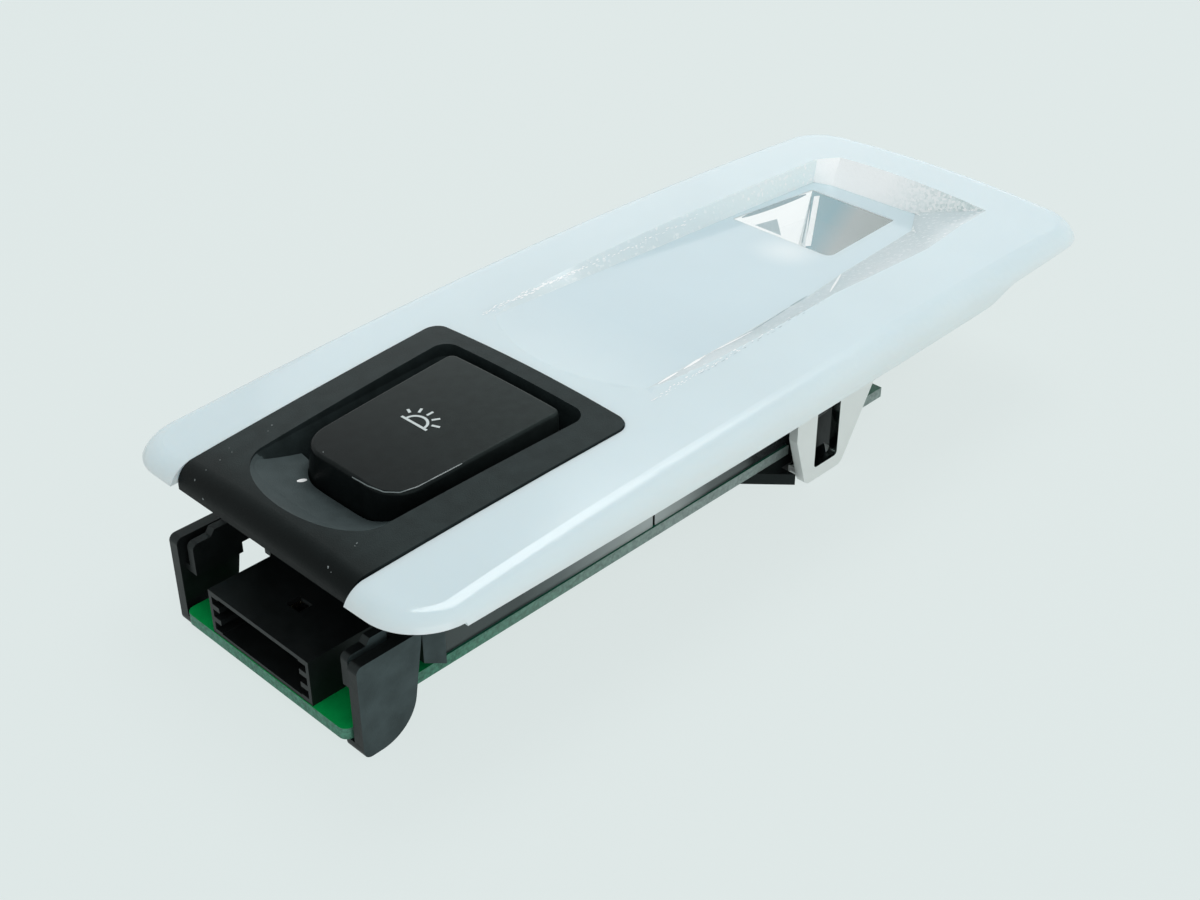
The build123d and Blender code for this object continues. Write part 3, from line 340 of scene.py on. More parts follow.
CRYSTALS = 2600.0
CRYSTAL_BLEND = (3.0, -10.0)
FAR_SMOOTH_PAINTED_LIGHT = (0.96, 0.995, 1.0)
FAR_GRAIN_AND_GLINTS = ((0.1, (0.56, 0.68, 0.68)), (0.5, (0.76, 0.85, 0.85)), (0.95, (0.98, 1.0, 1.0)))

far_wall_painted_light = Finish("far_recess_wall_painted_light")
far_smooth_lit = far_wall_painted_light.mottled(FAR_SMOOTH_PAINTED_LIGHT, spread=0.01, scale=120.0, detail=2.0)
far_grain_and_glints = far_wall_painted_light.ramp(far_wall_painted_light.cells(CRYSTALS), FAR_GRAIN_AND_GLINTS)
far_wall_painted_light.colour(far_wall_painted_light.mix(far_wall_painted_light.across(*CRYSTAL_BLEND), far_smooth_lit, far_grain_and_glints))
far_wall_painted_light.roughness(far_wall_painted_light.noise(scale=1500.0), low=0.10, high=0.25)
far_wall_painted_light.relief(far_wall_painted_light.cells(CRYSTALS), depth=0.02)

# Clear window

clear = Finish("clear_window", Alpha=0.06, IOR=1.5)
clear.colour(clear.mottled((0.90, 0.96, 0.97), spread=0.02, scale=100.0, detail=2.0))
clear.roughness(clear.noise(scale=400.0), low=0.02, high=0.06)

# Black button and bezel, both painted darker at the front as shade, and the button painted lighter at its
# rear as sheen

TINT = (0.80, 1.0, 0.98, 1.0)
SATIN = dict(Specular_IOR_Level=0.09, Specular_Tint=TINT)
BUTTON_FRONT_SHADE = (0.0030, 0.0040, 0.0042)
BUTTON_REAR_SHEEN = (0.0170, 0.0230, 0.0225)
BUTTON_BLEND = (16.0, 41.0)
TRIM_FRONT_SHADE = (0.0010, 0.0013, 0.0014)
TRIM_FACE = (0.0155, 0.0220, 0.0225)
TRIM_BLEND = (2.8, 9.0)

black_button = Finish("black_button", **SATIN)
button_front_shade = black_button.mottled(BUTTON_FRONT_SHADE, spread=0.3, scale=700.0)
button_rear_sheen = black_button.mottled(BUTTON_REAR_SHEEN, spread=0.15, scale=700.0)
black_button.colour(black_button.mix(black_button.along(*BUTTON_BLEND), button_front_shade, button_rear_sheen))
black_button.roughness(black_button.noise(scale=1400.0), low=0.34, high=0.44)
black_button.relief(black_button.noise(scale=9000.0), depth=0.012)

black_trim = Finish("black_trim", **SATIN)
trim_front_shade = black_trim.mottled(TRIM_FRONT_SHADE, spread=0.3, scale=500.0)
trim_face = black_trim.mottled(TRIM_FACE, spread=0.2, scale=500.0)
black_trim.colour(black_trim.mix(black_trim.along(*TRIM_BLEND), trim_front_shade, trim_face))
black_trim.roughness(black_trim.noise(scale=1000.0), low=0.38, high=0.50)
black_trim.relief(black_trim.noise(scale=6500.0), depth=0.03)

# Finger scoop, painted paler than the bezel as the sheen of light on it
black_scoop_painted_sheen = moulding(
    "black_scoop_painted_sheen", (0.050, 0.066, 0.068),
    spread=0.12, mottle=500.0, rough=(0.40, 0.52), grain=6500.0, depth=0.03, **SATIN,
)

# Black housing, with clips painted paler as sheen and side walls with a painted grey shine about their
# joint

WALL_SPAN = (14.0, 74.0)
WALL_PAINTED_SHINE = (
    (0.0, (0.030, 0.036, 0.036)),
    (0.25, (0.040, 0.048, 0.048)),
    (0.37, (0.11, 0.13, 0.13)),
    (0.64, (0.42, 0.46, 0.455)),
    (0.74, (0.30, 0.33, 0.325)),
    (0.84, (0.08, 0.09, 0.09)),
    (1.0, (0.02, 0.023, 0.024)),
)

black_housing = moulding(
    "black_housing", (0.0050, 0.0060, 0.0062),
    spread=0.3, mottle=350.0, rough=(0.34, 0.48), grain=4000.0, depth=0.012,
    Specular_IOR_Level=0.2, Specular_Tint=TINT,
)
# Near clips, painted paler as sheen
black_clip_painted_sheen = moulding(
    "black_clip_painted_sheen", (0.050, 0.068, 0.070),
    spread=0.2, mottle=350.0, rough=(0.34, 0.48), grain=4000.0, depth=0.012, **SATIN,
)
# Side walls, with a painted grey shine about their joint
black_wall_painted_shine = Finish("black_wall_painted_shine", Specular_Tint=TINT)
black_wall_painted_shine.colour(black_wall_painted_shine.ramp(black_wall_painted_shine.along(*WALL_SPAN), WALL_PAINTED_SHINE))
black_wall_painted_shine.roughness(black_wall_painted_shine.noise(scale=700.0), low=0.18, high=0.26)
black_wall_painted_shine.relief(black_wall_painted_shine.noise(scale=4000.0), depth=0.008)

# Metal coats of the reflector: bright, a painted reflection from blue-grey to warm grey for the cup's far
# side, satin, and painted shade with painted glints for the legs' openings

CUP_SPAN = (13.0, -3.0)
CUP_PAINTED_REFLECTION = (
    (0.0, (0.34, 0.46, 0.49)),
    (0.35, (0.30, 0.43, 0.47)),
    (0.6, (0.42, 0.46, 0.46)),
    (1.0, (0.38, 0.42, 0.41)),
)
OPENING_SHADE_AND_GLINTS = ((0.42, (0.04, 0.05, 0.05)), (0.55, (0.10, 0.12, 0.12)), (0.62, (0.55, 0.60, 0.58)))

bright = Finish("bright_metal_coat", Metallic=1.0)
bright.colour(bright.mottled((0.96, 0.98, 0.98), spread=0.01, scale=120.0, detail=2.0))
bright.roughness(bright.noise(scale=300.0), low=0.05, high=0.10)

# Cup's far side: a painted reflection, blue-grey to warm grey across it
far_cup_painted_reflection = Finish("painted_reflection_metal_coat", Metallic=1.0)
far_cup_painted_reflection.colour(far_cup_painted_reflection.ramp(far_cup_painted_reflection.across(*CUP_SPAN), CUP_PAINTED_REFLECTION))
far_cup_painted_reflection.roughness(far_cup_painted_reflection.noise(scale=300.0), low=0.10, high=0.18)

satin_coat = Finish("satin_metal_coat", Metallic=0.35)
satin_coat.colour(satin_coat.mottled((0.78, 0.81, 0.79), spread=0.03, scale=120.0, detail=2.0))
satin_coat.roughness(satin_coat.noise(scale=300.0), low=0.29, high=0.38)
satin_coat.relief(satin_coat.noise(scale=900.0), depth=0.0015)

# Legs' openings: painted shade with patches of painted reflection
opening_painted_shade = Finish("painted_shade_metal_coat", Metallic=1.0)
opening_painted_shade.colour(opening_painted_shade.ramp(opening_painted_shade.noise(scale=260.0, detail=1.0), OPENING_SHADE_AND_GLINTS))
opening_painted_shade.roughness(opening_painted_shade.noise(scale=300.0), low=0.10, high=0.2)

# Board, painted darker as shade beyond its near end, with a cut edge painted paler as light towards the
# reading light

BOARD_NEAR = (0.0, 0.38, 0.085)
BOARD_FAR_SHADE = (0.0, 0.10, 0.055)
EDGE_NEAR = (0.06, 0.20, 0.135)
EDGE_FAR_LIGHT = (0.26, 0.33, 0.31)
BOARD_BLEND = (10.0, 18.0)
EDGE_BLEND = (18.0, 58.0)

# Board face, painted darker beyond its near end as shade
board_face = Finish("green_board")
board_near = board_face.mottled(BOARD_NEAR, spread=0.10, scale=500.0)
board_far_shade = board_face.mottled(BOARD_FAR_SHADE, spread=0.10, scale=500.0)
board_face.colour(board_face.mix(board_face.along(*BOARD_BLEND), board_near, board_far_shade))
board_face.roughness(board_face.noise(scale=1000.0), low=0.29, high=0.38)
board_face.relief(board_face.noise(scale=3500.0), depth=0.01)

# Cut edge, with painted light making it paler towards the reading light
laminate = Finish("board_edge")
edge_near = laminate.mottled(EDGE_NEAR, spread=0.4, scale=2200.0)
edge_far_lit = laminate.mottled(EDGE_FAR_LIGHT, spread=0.25, scale=2200.0)
laminate.colour(laminate.mix(laminate.along(*EDGE_BLEND), edge_near, edge_far_lit))
laminate.roughness(laminate.noise(scale=900.0), low=0.5, high=0.8)
laminate.relief(laminate.noise(scale=3000.0), depth=0.04)

# Small parts on the board and under the button

steel = Finish("steel", Metallic=1.0)
steel.colour(steel.mottled((0.62, 0.62, 0.6), spread=0.08, scale=700.0, detail=2.0))
steel.roughness(steel.noise(scale=1500.0), low=0.22, high=0.38)

contact = Finish("contact_metal", Metallic=1.0)
contact.colour(contact.mottled((0.76, 0.69, 0.5), spread=0.08, scale=700.0, detail=2.0))
contact.roughness(contact.noise(scale=1500.0), low=0.2, high=0.34)

black_component = moulding(
    "black_component", (0.02, 0.02, 0.02),
    spread=0.2, mottle=900.0, rough=(0.45, 0.6), grain=6000.0, depth=0.01,
)
resin = moulding(
    "light_source", (0.85, 0.76, 0.3),
    spread=0.06, mottle=900.0, rough=(0.18, 0.28), grain=3000.0, depth=0.005,
)
ceramic = moulding(
    "tan_ceramic", (0.4, 0.28, 0.16),
    spread=0.12, mottle=1200.0, rough=(0.45, 0.6), grain=4000.0, depth=0.01,
)
pale = moulding(
    "white_plastic", (0.75, 0.75, 0.72),
    spread=0.03, mottle=500.0, rough=(0.35, 0.45), grain=4000.0, depth=0.008,
)
pipe = moulding(
    "light_pipe", (0.9, 0.93, 0.95),
    spread=0.02, mottle=300.0, rough=(0.06, 0.14), grain=2000.0, depth=0.004, Transmission_Weight=0.8,
)

# Sign, dust, shine and glints

ink = moulding(
    "sign_ink", (0.56, 0.62, 0.62),
    spread=0.04, mottle=2000.0, rough=(0.4, 0.5), grain=8000.0, depth=0.004,
)
dust = moulding(
    "dust", (0.20, 0.23, 0.23),
    spread=0.2, mottle=4000.0, rough=(0.7, 0.9), grain=9000.0, depth=0.02,
)
edge_shine = moulding(
    "button_edge", (0.13, 0.16, 0.16),
    spread=0.1, mottle=3000.0, rough=(0.3, 0.4), grain=9000.0, depth=0.004,
)
glint = moulding(
    "prism_glint", (0.96, 0.98, 0.98),
    spread=0.02, mottle=3000.0, rough=(0.08, 0.2), grain=9000.0, depth=0.01,
)
dark_glint = moulding(
    "prism_shade", (0.33, 0.43, 0.46),
    spread=0.08, mottle=3000.0, rough=(0.08, 0.2), grain=9000.0, depth=0.01,
)
grey_glint = moulding(
    "cup_shade", (0.45, 0.55, 0.575),
    spread=0.05, mottle=3000.0, rough=(0.08, 0.2), grain=9000.0, depth=0.01,
)

# Materials of the CAD nodes


def wear(node, *made):
    """Gives a CAD node its materials."""
    nodes[node].data.materials.clear()
    for one in made:
        nodes[node].data.materials.append(one.made)


def sort_faces(node, chooser):
    """Picks a material for each face from its middle, as station, across and height, and its normal."""
    for face in nodes[node].data.polygons:
        middle = face.center / MM
        face.material_index = chooser(middle.x + HALF_LENGTH, middle.y, middle.z, face.normal)


wear("lens_frame", milky, milky_floor, left_wall_painted_light, right_wall_painted_shade, far_wall_painted_light)
wear("reading_window", clear)
wear("switch_bezel", black_trim, black_scoop_painted_sheen)
wear("push_button", black_button)
wear("symbol_light_pipe", pipe)
wear("switch_base", black_component)
wear("switch_cover", steel)
wear("switch_stem", pale)
wear("switch_terminals", steel)
wear("circuit_board", board_face, laminate)
wear("connector_header", black_housing)
wear("connector_pins", contact)
wear("switch_housing", black_housing, black_wall_painted_shine, black_clip_painted_sheen)
wear("reflector", bright, satin_coat, far_cup_painted_reflection, opening_painted_shade)
for node in ("reading_led", "symbol_led", "frame_leds"):
    wear(node, resin)
for node in ("driver_chip", "resistors", "protection_diode"):
    wear(node, black_component)
wear("driver_chip_leads", steel)
wear("capacitors", ceramic)

# Box round the recess, and how closely its floor and walls are told apart
RECESS_START = 46.0
RECESS_END = 127.0
RECESS_HALF = 18.0
RECESS_LOWEST = 20.5
FLOOR_GAP = 0.03
WALL_FOOT = 0.02
WALL_HEAD = 0.05
LEVEL = 0.99
UPWARD = 0.02
FACING_NEAR = -0.25


def lens_faces(station, across, height, normal):
    """The recess floor and its left, right and far walls differ from the crowned face."""
    plain, floor, left, right_side, far = range(5)
    in_box = RECESS_START < station < RECESS_END and abs(across) < RECESS_HALF and height > RECESS_LOWEST
    if not in_box or normal.z <= UPWARD:
        return plain
    above_floor = height - recess_floor(station)
    if abs(above_floor) < FLOOR_GAP and normal.z > LEVEL:
        return floor
    if above_floor <= WALL_FOOT or height >= crown(station, across) - WALL_HEAD:
        return plain
    if normal.x < FACING_NEAR:
        return far
    return left if normal.y < 0.0 else right_side


# Finger scoop of the bezel
SCOOP_END = 14.2
SCOOP_FLOOR = 19.0
SCOOP_RIM = 25.2
SCOOP_TILT = 0.3


def bezel_faces(station, across, height, normal):
    """The finger scoop gets a paler colour, painted as the sheen of light on it."""
    in_scoop = station < SCOOP_END and SCOOP_FLOOR < height < SCOOP_RIM
    return int(in_scoop and normal.x > SCOOP_TILT and normal.z > SCOOP_TILT)


# Side walls and near clips of the housing
SIDEWAYS = 0.9
WALL_INSIDE = 13.0
WALL_OUTSIDE = 14.5
CLIP_END = 30.0


def housing_faces(station, across, height, normal):
    """The long side walls are glossier and carry a painted shine, and the near clips are painted paler as
    sheen.
    """
    plain, wall, clip = range(3)
    if abs(normal.y) < SIDEWAYS or across * normal.y < 0.0 or abs(across) < WALL_INSIDE:
        return plain
    if abs(across) < WALL_OUTSIDE:
        return wall
    return clip if station < CLIP_END else plain


# Loop legs and cup of the reflector
LEG_INSIDE = 15.5
LEG_WINDOW_START = 80.0
LEG_WINDOW_END = 86.2
LEG_WINDOW_TURN = 0.5
CUP_START = 95.0
CUP_FACING = -0.3
CUP_UPWARD = 0.05


def reflector_faces(station, across, height, normal):
    """The legs are satin with openings painted dark as shade, and the cup's far side carries a painted
    reflection.
    """
    plain, satin, far, dark = range(4)
    in_leg = abs(across) > LEG_INSIDE
    if in_leg and LEG_WINDOW_START < station < LEG_WINDOW_END and abs(normal.y) < LEG_WINDOW_TURN:
        return dark
    if in_leg or station < CUP_START:
        return satin
    return far if normal.x < CUP_FACING and normal.z > CUP_UPWARD else plain


# Cut edge of the board
EDGE_TURN = 0.5


def board_faces(station, across, height, normal):
    """The upright cut edge differs from the flat faces."""
    return int(abs(normal.z) < EDGE_TURN)


sort_faces("lens_frame", lens_faces)
sort_faces("switch_bezel", bezel_faces)
sort_faces("switch_housing", housing_faces)
sort_faces("circuit_board", board_faces)
sort_faces("reflector", reflector_faces)


def piece(name, strokes, made, body):
    """One mesh from several groups of corners and faces."""
    corners = []
    faces = []
    for some_corners, some_faces in strokes:
        start = len(corners)
        corners.extend(some_corners)
        faces.extend(tuple(start + corner for corner in face) for face in some_faces)
    mesh = bpy.data.meshes.new(name)
    mesh.from_pydata([tuple(corner) for corner in corners], [], faces)
    mesh.materials.append(made.made)
    held = bpy.data.objects.new(name, mesh)
    scene.collection.objects.link(held)
    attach(held, body)
    return held


def band(steps):
    """Faces of a strip whose corners come in pairs."""
    return [(2 * step, 2 * step + 1, 2 * step + 3, 2 * step + 2) for step in range(steps)]


def run(first, last, steps):
    """Places in even steps from one to another."""
    shares = [step / steps for step in range(steps + 1)]
    return [tuple(a + (b - a) * share for a, b in zip(first, last)) for share in shares]


# Sign on the button: a dome on a bar, with rays, in stations and distances across

STROKE = 0.36
SIGN_LIFT = 0.02
DOME_STATION = 26.4
DOME_ACROSS = 1.04
DOME_RISE = 1.44
DOME_HALF = 1.63
DOME_STEPS = 24
BAR_ENDS = ((26.28, 3.45), (26.28, -1.22))
BAR_STEPS = 12
RAYS = (
    ((27.46, 3.25), (27.79, 4.04)),
    ((28.17, 2.43), (29.01, 2.83)),
    ((28.41, 1.21), (29.42, 1.20)),
    ((28.12, 0.0), (29.0, -0.59)),
    ((27.37, -0.86), (27.78, -1.92)),
)
RAY_STEPS = 6


def ribbon(points):
    """Corners and faces of a flat stroke of the sign on the button's upper surface."""
    corners = []
    for index, (station, across) in enumerate(points):
        before = points[max(index - 1, 0)]
        after = points[min(index + 1, len(points) - 1)]
        along = Vector((after[0] - before[0], after[1] - before[1])).normalized()
        side = Vector((-along.y, along.x)) * STROKE / 2
        corners.append(on_top("push_button", station + side.x, across + side.y, SIGN_LIFT))
        corners.append(on_top("push_button", station - side.x, across - side.y, SIGN_LIFT))
    return corners, band(len(points) - 1)


dome = []
for step in range(DOME_STEPS + 1):
    turn = math.pi * step / DOME_STEPS
    dome.append((DOME_STATION + DOME_RISE * math.sin(turn), DOME_ACROSS + DOME_HALF * math.cos(turn)))
sign_strokes = [ribbon(run(*BAR_ENDS, BAR_STEPS)), ribbon(dome)]
sign_strokes += [ribbon(run(*ray, RAY_STEPS)) for ray in RAYS]
piece("button_sign", sign_strokes, ink, "button")

# Strokes that shine or shade a surface, between photo pixels, with their ends cut a little before the tips

SEED = 7
GLINT_LIFT = 0.015
TIP = 0.15
SHORTEST = 0.3
THINNEST = 0.4
SPARKLE_STEPS = 2

draw = random.Random(SEED)


def streak(node, start, end, width, steps=8, pointed=True):
    """Corners and faces of a thin stroke between two photo pixels, with its width in millimetres."""
    corners = []
    spots = [under_pixel(node, *pixel) for pixel in run(start, end, steps)]
    along = (spots[-1][0] - spots[0][0]).normalized()
    for step, (point, normal) in enumerate(spots):
        swell = math.sqrt(math.sin(math.pi * (step + TIP) / (steps + 2 * TIP))) if pointed else 1.0
        half = normal.cross(along).normalized() * width * MM * swell / 2
        base = point + normal * GLINT_LIFT * MM
        corners.append(base + half)
        corners.append(base - half)
    return corners, band(steps)


def sparkles(start, end, count, spread, length, width):
    """Short strokes scattered on the lens along a line between two photo pixels."""
    strokes = []
    run_x = end[0] - start[0]
    run_y = end[1] - start[1]
    reach = math.hypot(run_x, run_y)
    for index in range(count):
        share = (index + draw.random()) / count
        off = draw.gauss(0.0, spread)
        x = start[0] + run_x * share - run_y / reach * off
        y = start[1] + run_y * share + run_x / reach * off
        half = length * (SHORTEST + draw.random()) / 2
        first = (x - run_x / reach * half, y - run_y / reach * half)
        last = (x + run_x / reach * half, y + run_y / reach * half)
        strokes.append(streak("lens_frame", first, last, width * (THINNEST + draw.random()), SPARKLE_STEPS))
    return strokes


# Glints along the recess: its left and right rims, and four longer flashes with their widths

LEFT_RIM_NEAR = (482, 314)
LEFT_RIM_MIDDLE = (580, 269)
LEFT_RIM_FAR = (700, 216)
RIGHT_RIM_NEAR = (652, 400)
RIGHT_RIM_MIDDLE = (740, 349)
RIGHT_RIM_FAR = (826, 297)
FLASHES = (
    ((658, 384), (678, 372), 0.40),
    ((684, 369), (706, 355), 0.55),
    ((710, 353), (753, 331), 0.45),
    ((830, 292), (841, 274), 0.45),
)

bright_strokes = sparkles(LEFT_RIM_NEAR, LEFT_RIM_MIDDLE, count=110, spread=1.1, length=3.0, width=0.17)
bright_strokes += sparkles(LEFT_RIM_MIDDLE, LEFT_RIM_FAR, count=40, spread=1.0, length=3.0, width=0.14)
bright_strokes += sparkles(RIGHT_RIM_NEAR, RIGHT_RIM_MIDDLE, count=50, spread=1.0, length=3.0, width=0.15)
bright_strokes += sparkles(RIGHT_RIM_MIDDLE, RIGHT_RIM_FAR, count=24, spread=0.6, length=3.0, width=0.12)
bright_strokes += [streak("lens_frame", *flash) for flash in FLASHES]
piece("recess_glints", bright_strokes, glint, "lamp")

# Painted highlight along the button's front edge

EDGE_PATH = ((352, 477), (368, 486), (384, 492), (400, 492.5), (418, 486.5), (440, 475), (462, 463.5))
EDGE_LINE = 0.13
EDGE_STEPS = 4

edge_strokes = []
for start, end in zip(EDGE_PATH, EDGE_PATH[1:]):
    edge_strokes.append(streak("push_button", start, end, EDGE_LINE, EDGE_STEPS, pointed=False))
piece("button_edge", edge_strokes, edge_shine, "button")

# Painted shade along the recess's right wall: a dark line painted as a reflection, and dark specks

SHADE_LINE = ((752, 331), (807, 296), 0.35)
SHADE_NEAR = (700, 374)
SHADE_FAR = (826, 299)

shade_strokes = [streak("lens_frame", *SHADE_LINE)]
shade_strokes += sparkles(SHADE_NEAR, SHADE_FAR, count=24, spread=1.0, length=4.0, width=0.08)
piece("recess_shades", shade_strokes, dark_glint, "lamp")

# Bright liner of the cup, from the window's edge down to an opening over the light source

LINER_DEPTH = 8.0
LINER_SKIN = 0.1
NEAR_LEAN = 0.3
SIDE_LEAN = 0.84
FAR_LEAN = 1.25
WINDOW = ((100.05, 13.65), (118.25, 12.85), (118.25, -2.85), (100.05, -4.65))
LEANS = ((NEAR_LEAN, -SIDE_LEAN), (-FAR_LEAN, -SIDE_LEAN), (-FAR_LEAN, SIDE_LEAN), (NEAR_LEAN, SIDE_LEAN))


def liner_ring(depth):
    """Four corners of the liner at a depth below the recess floor."""
    ring = []
    for (station, across), (along, aside) in zip(WINDOW, LEANS):
        height = recess_floor(station) - LINER_SKIN - depth
        ring.append(place(station + along * depth, across + aside * depth, height))
    return ring


liner_corners = liner_ring(0.0) + liner_ring(LINER_DEPTH)
liner_sides = []
for side in range(len(WINDOW)):
    after = (side + 1) % len(WINDOW)
    liner_sides.append((side + len(WINDOW), after + len(WINDOW), after, side))
left_side, far_side, right_side, near_side = liner_sides
trees["cup_liner"] = BVHTree.FromPolygons(liner_corners, liner_sides)
bright_liner = (liner_corners, [left_side, right_side, near_side])
piece("cup_liner", [bright_liner], bright, "lamp")
# Far side of the liner, with the painted reflection of the cup's far side
piece("cup_liner_far", [(liner_corners, [far_side])], far_cup_painted_reflection, "lamp")

# Painted mirror images in the liner: a grey facet, dark lines and a bright line, with the lines' widths

REFLECTED_FACET = ((755, 225), (781, 235.5), (777, 219))
RIM_SHADE = ((742, 217.5), (806, 194.5), 0.7)
CREASE_SHADE = ((811.5, 197), (802, 243), 0.22)
CREASE_GLINT = ((817, 196), (808, 246), 0.95)

rim_shade = streak("cup_liner", *RIM_SHADE)
reflected_facet_spots = [under_pixel("cup_liner", *pixel) for pixel in REFLECTED_FACET]
reflected_facet_corners = [point + normal * GLINT_LIFT * MM for point, normal in reflected_facet_spots]
piece("cup_painted_reflection", [(reflected_facet_corners, [(0, 1, 2)])], grey_glint, "lamp")
crease_shade = streak("cup_liner", *CREASE_SHADE, pointed=False)
piece("cup_painted_dark_lines", [rim_shade, crease_shade], dark_glint, "lamp")
crease_glint = streak("cup_liner", *CREASE_GLINT, pointed=False)
piece("cup_glint", [crease_glint], glint, "lamp")

# Floor of the finger scoop, from under the bezel's front rim to the button's front face

SCOOP_ACROSS = 10.2
SCOOP_ARC = 13.7
SCOOP_CENTRE = 19.0
SCOOP_TUCK = 0.5
SCOOP_WIDEN = 1.05
SCOOP_DROP = 0.35
SCOOP_LOW = 20.4
SCOOP_SAG = 0.15
BUTTON_FACE = 13.5
BUTTON_CORNER = 4.6
BUTTON_STRAIGHT = 4.4
BUTTON_FLANK = 16.0
FOOT_HALF = 8.2
FOOT_FLARE = 2.2
FOOT_FLARE_POWER = 6
FOOT_RISE = 1.1
FOOT_RISE_POWER = 4
ACROSS_STEPS = 40
AHEAD_STEPS = 12


def scoop_point(side, share):
    """Point of the scoop at a side from -1 to 1 and a share from 0 at its front edge to 1 at the button."""
    edge = side * SCOOP_ACROSS
    edge_station = SCOOP_CENTRE - math.sqrt(SCOOP_ARC**2 - edge**2)
    edge_height = crown(edge_station, edge) - SCOOP_DROP
    front = place(edge_station - SCOOP_TUCK, edge * SCOOP_WIDEN, edge_height)
    foot = side * (FOOT_HALF + FOOT_FLARE * abs(side) ** FOOT_FLARE_POWER)
    past = min(max(abs(foot) - BUTTON_STRAIGHT, 0.0), BUTTON_CORNER)
    foot_station = BUTTON_FACE + BUTTON_CORNER - math.sqrt(BUTTON_CORNER**2 - past**2)
    foot_height = SCOOP_LOW + FOOT_RISE * abs(side) ** FOOT_RISE_POWER
    back = place(min(foot_station, BUTTON_FLANK), foot, foot_height)
    return front.lerp(back, share) - Vector((0, 0, SCOOP_SAG * MM * math.sin(math.pi * share)))


scoop_corners = []
for step in range(ACROSS_STEPS + 1):
    for turn in range(AHEAD_STEPS + 1):
        scoop_corners.append(scoop_point(2.0 * step / ACROSS_STEPS - 1.0, turn / AHEAD_STEPS))
scoop_faces = []
for step in range(ACROSS_STEPS):
    for turn in range(AHEAD_STEPS):
        first = step * (AHEAD_STEPS + 1) + turn
        beyond = first + AHEAD_STEPS + 1
        scoop_faces.append((first, first + 1, beyond + 1, beyond))
trees["scoop_floor"] = BVHTree.FromPolygons(scoop_corners, scoop_faces)
scoop_floor = piece("scoop_floor", [(scoop_corners, scoop_faces)], black_scoop_painted_sheen, "lamp")
for face in scoop_floor.data.polygons:
    face.use_smooth = True

# Dust on the bezel and the button and a pale chip on the scoop, at photo pixels, with sizes in millimetres

BEZEL_DUST = (
    (357, 543, 0.22), (328, 567, 0.25), (272, 425, 0.2), (220, 460, 0.18), (232, 452, 0.15),
    (195, 480, 0.25), (203, 499, 0.28), (206, 470, 0.14), (268, 431, 0.14), (229, 448, 0.12),
    (331, 572, 0.15), (355, 546, 0.15),
)
BUTTON_DUST = (323, 452, 0.2)
CHIP = ((297, 481.5), (307, 479.5), 0.55)
SPECK_CORNERS = 7
SPECK_HEIGHT = 0.25
SPECK_LEAST = 0.2
SPECK_SPREAD = 0.4
SPECK_STRETCH = 1.4


def speck(node, x, y, size):
    """Corners and faces of a small crumb where the photo shows one."""
    middle, normal = under_pixel(node, x, y)
    side = normal.orthogonal().normalized()
    other = normal.cross(side)
    corners = [middle + normal * size * SPECK_HEIGHT * MM]
    for step in range(SPECK_CORNERS):
        turn = 2 * math.pi * step / SPECK_CORNERS
        reach = size * (SPECK_LEAST + SPECK_SPREAD * draw.random()) * MM
        outward = side * math.cos(turn) * SPECK_STRETCH + other * math.sin(turn)
        corners.append(middle + outward * reach)
    return corners, [(0, 1 + step, 1 + (step + 1) % SPECK_CORNERS) for step in range(SPECK_CORNERS)]


bezel_specks = [speck("switch_bezel", *one) for one in BEZEL_DUST]
piece("bezel_dust", bezel_specks, dust, "lamp")
piece("scoop_chip", [streak("scoop_floor", *CHIP)], glint, "lamp")
piece("button_dust", [speck("push_button", *BUTTON_DUST)], dust, "button")

# Floor and background, pale for the camera, in mirror images and through glass

PALE = (0.745, 0.815, 0.807, 1.0)
FLOOR_ROUGHNESS = 0.9
FLOOR_GLOW = 0.9
FLOOR_SIZE = 6.0
FLOOR_DROP = 0.2
SKY_LIGHT = (0.96, 0.99, 1.0, 1.0)
SKY_STRENGTH = 0.5
SKY_SHOWN = (0.97, 1.0, 1.0, 1.0)


def larger(tree, first, second):
    """The larger of two values."""
    made = tree.nodes.new("ShaderNodeMath")
    made.operation = "MAXIMUM"
    tree.links.new(first, made.inputs[0])
    tree.links.new(second, made.inputs[1])
    return made.outputs[0]


def shown_rays(tree):
    """1 for rays from the camera, in mirror images and through glass, and 0 for light on the object."""
    path = tree.nodes.new("ShaderNodeLightPath").outputs
    seen = larger(tree, path["Is Camera Ray"], path["Is Glossy Ray"])
    return larger(tree, seen, path["Is Transmission Ray"])


def shown_mix(tree, share, lit, shown, output):
    """Joins the shader that lights the object and the shader that is shown, by a share."""
    mix = tree.nodes.new("ShaderNodeMixShader")
    tree.links.new(share, mix.inputs["Fac"])
    tree.links.new(lit, mix.inputs[1])
    tree.links.new(shown, mix.inputs[2])
    tree.links.new(mix.outputs["Shader"], tree.nodes[output].inputs["Surface"])


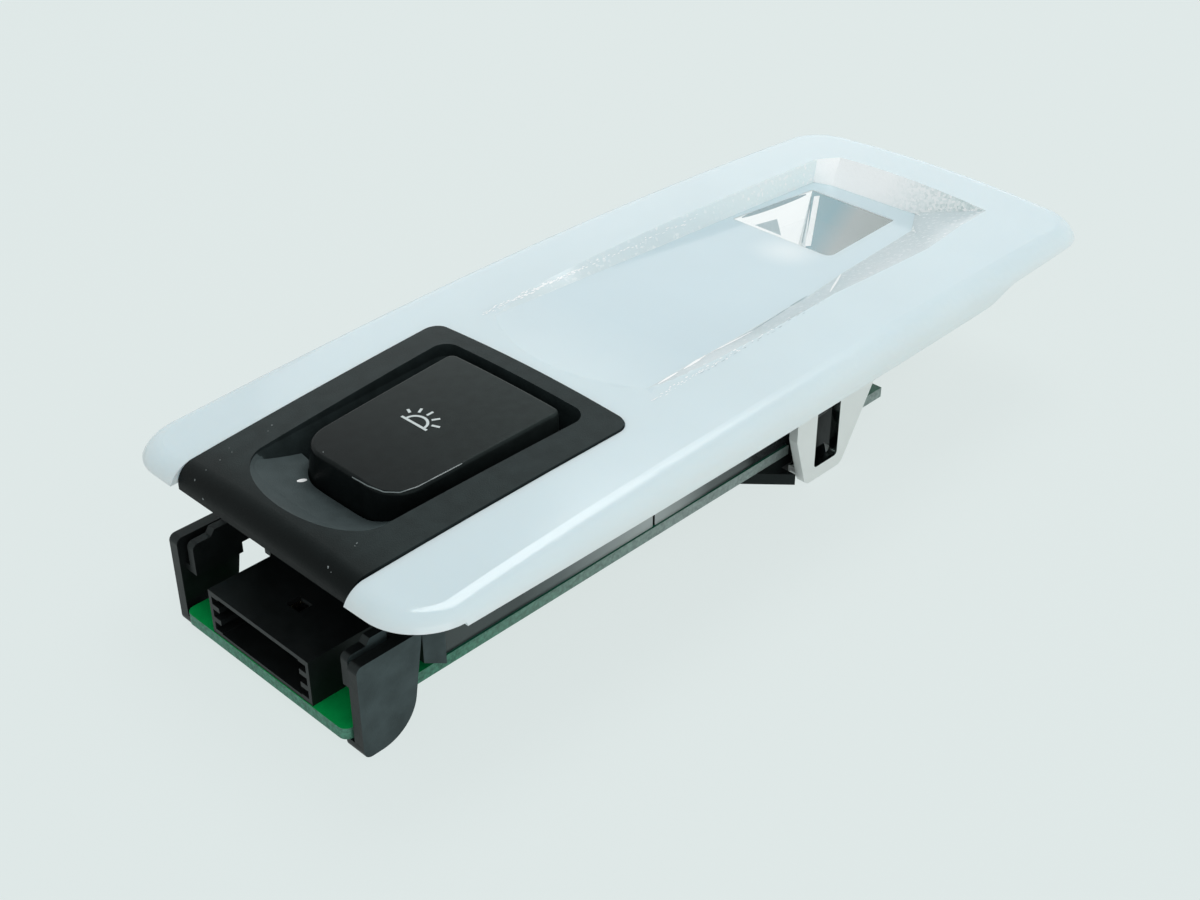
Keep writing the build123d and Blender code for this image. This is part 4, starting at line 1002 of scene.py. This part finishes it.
floor_paint = bpy.data.materials.new("pale_floor")
floor_paint.use_nodes = True
floor_tree = floor_paint.node_tree
floor_shader = floor_tree.nodes["Principled BSDF"]
floor_shader.inputs["Base Color"].default_value = PALE
floor_shader.inputs["Roughness"].default_value = FLOOR_ROUGHNESS
floor_glow = floor_tree.nodes.new("ShaderNodeEmission")
floor_glow.inputs["Color"].default_value = PALE
floor_share = floor_tree.nodes.new("ShaderNodeMath")
floor_share.operation = "MULTIPLY"
floor_share.inputs[1].default_value = FLOOR_GLOW
floor_tree.links.new(shown_rays(floor_tree), floor_share.inputs[0])
floor_lit = floor_shader.outputs["BSDF"]
shown_mix(floor_tree, floor_share.outputs[0], floor_lit, floor_glow.outputs["Emission"], "Material Output")
bpy.ops.mesh.primitive_plane_add(size=FLOOR_SIZE, location=(0, 0, -FLOOR_DROP * MM))
floor = bpy.context.object
floor.data.materials.append(floor_paint)

world = bpy.data.worlds.new("studio")
scene.world = world
world.use_nodes = True
sky_tree = world.node_tree
sky_lit = sky_tree.nodes["Background"]
sky_lit.inputs["Color"].default_value = SKY_LIGHT
sky_lit.inputs["Strength"].default_value = SKY_STRENGTH
sky_shown = sky_tree.nodes.new("ShaderNodeBackground")
sky_shown.inputs["Color"].default_value = SKY_SHOWN
sky_backgrounds = (sky_lit.outputs["Background"], sky_shown.outputs["Background"])
shown_mix(sky_tree, shown_rays(sky_tree), *sky_backgrounds, "World Output")

# Light, with places and sizes in metres and powers in watts

MIDDLE = Vector((0, 0, 0.02))


def area(name, spot, size, power):
    """A soft square light that faces the lamp's middle."""
    lamp = bpy.data.lights.new(name, "AREA")
    lamp.size = size
    lamp.energy = power
    held = bpy.data.objects.new(name, lamp)
    scene.collection.objects.link(held)
    held.location = spot
    held.rotation_euler = (MIDDLE - Vector(spot)).to_track_quat("-Z", "Y").to_euler()


area("overhead", spot=(0.4, 0.15, 0.9), size=0.5, power=3.6)
area("backdrop", spot=(0.9, 0.8, 0.35), size=1.0, power=1.4)
area("fill", spot=(-0.5, -1.1, 0.6), size=1.2, power=6.0)

scene.view_settings.view_transform = "Standard"
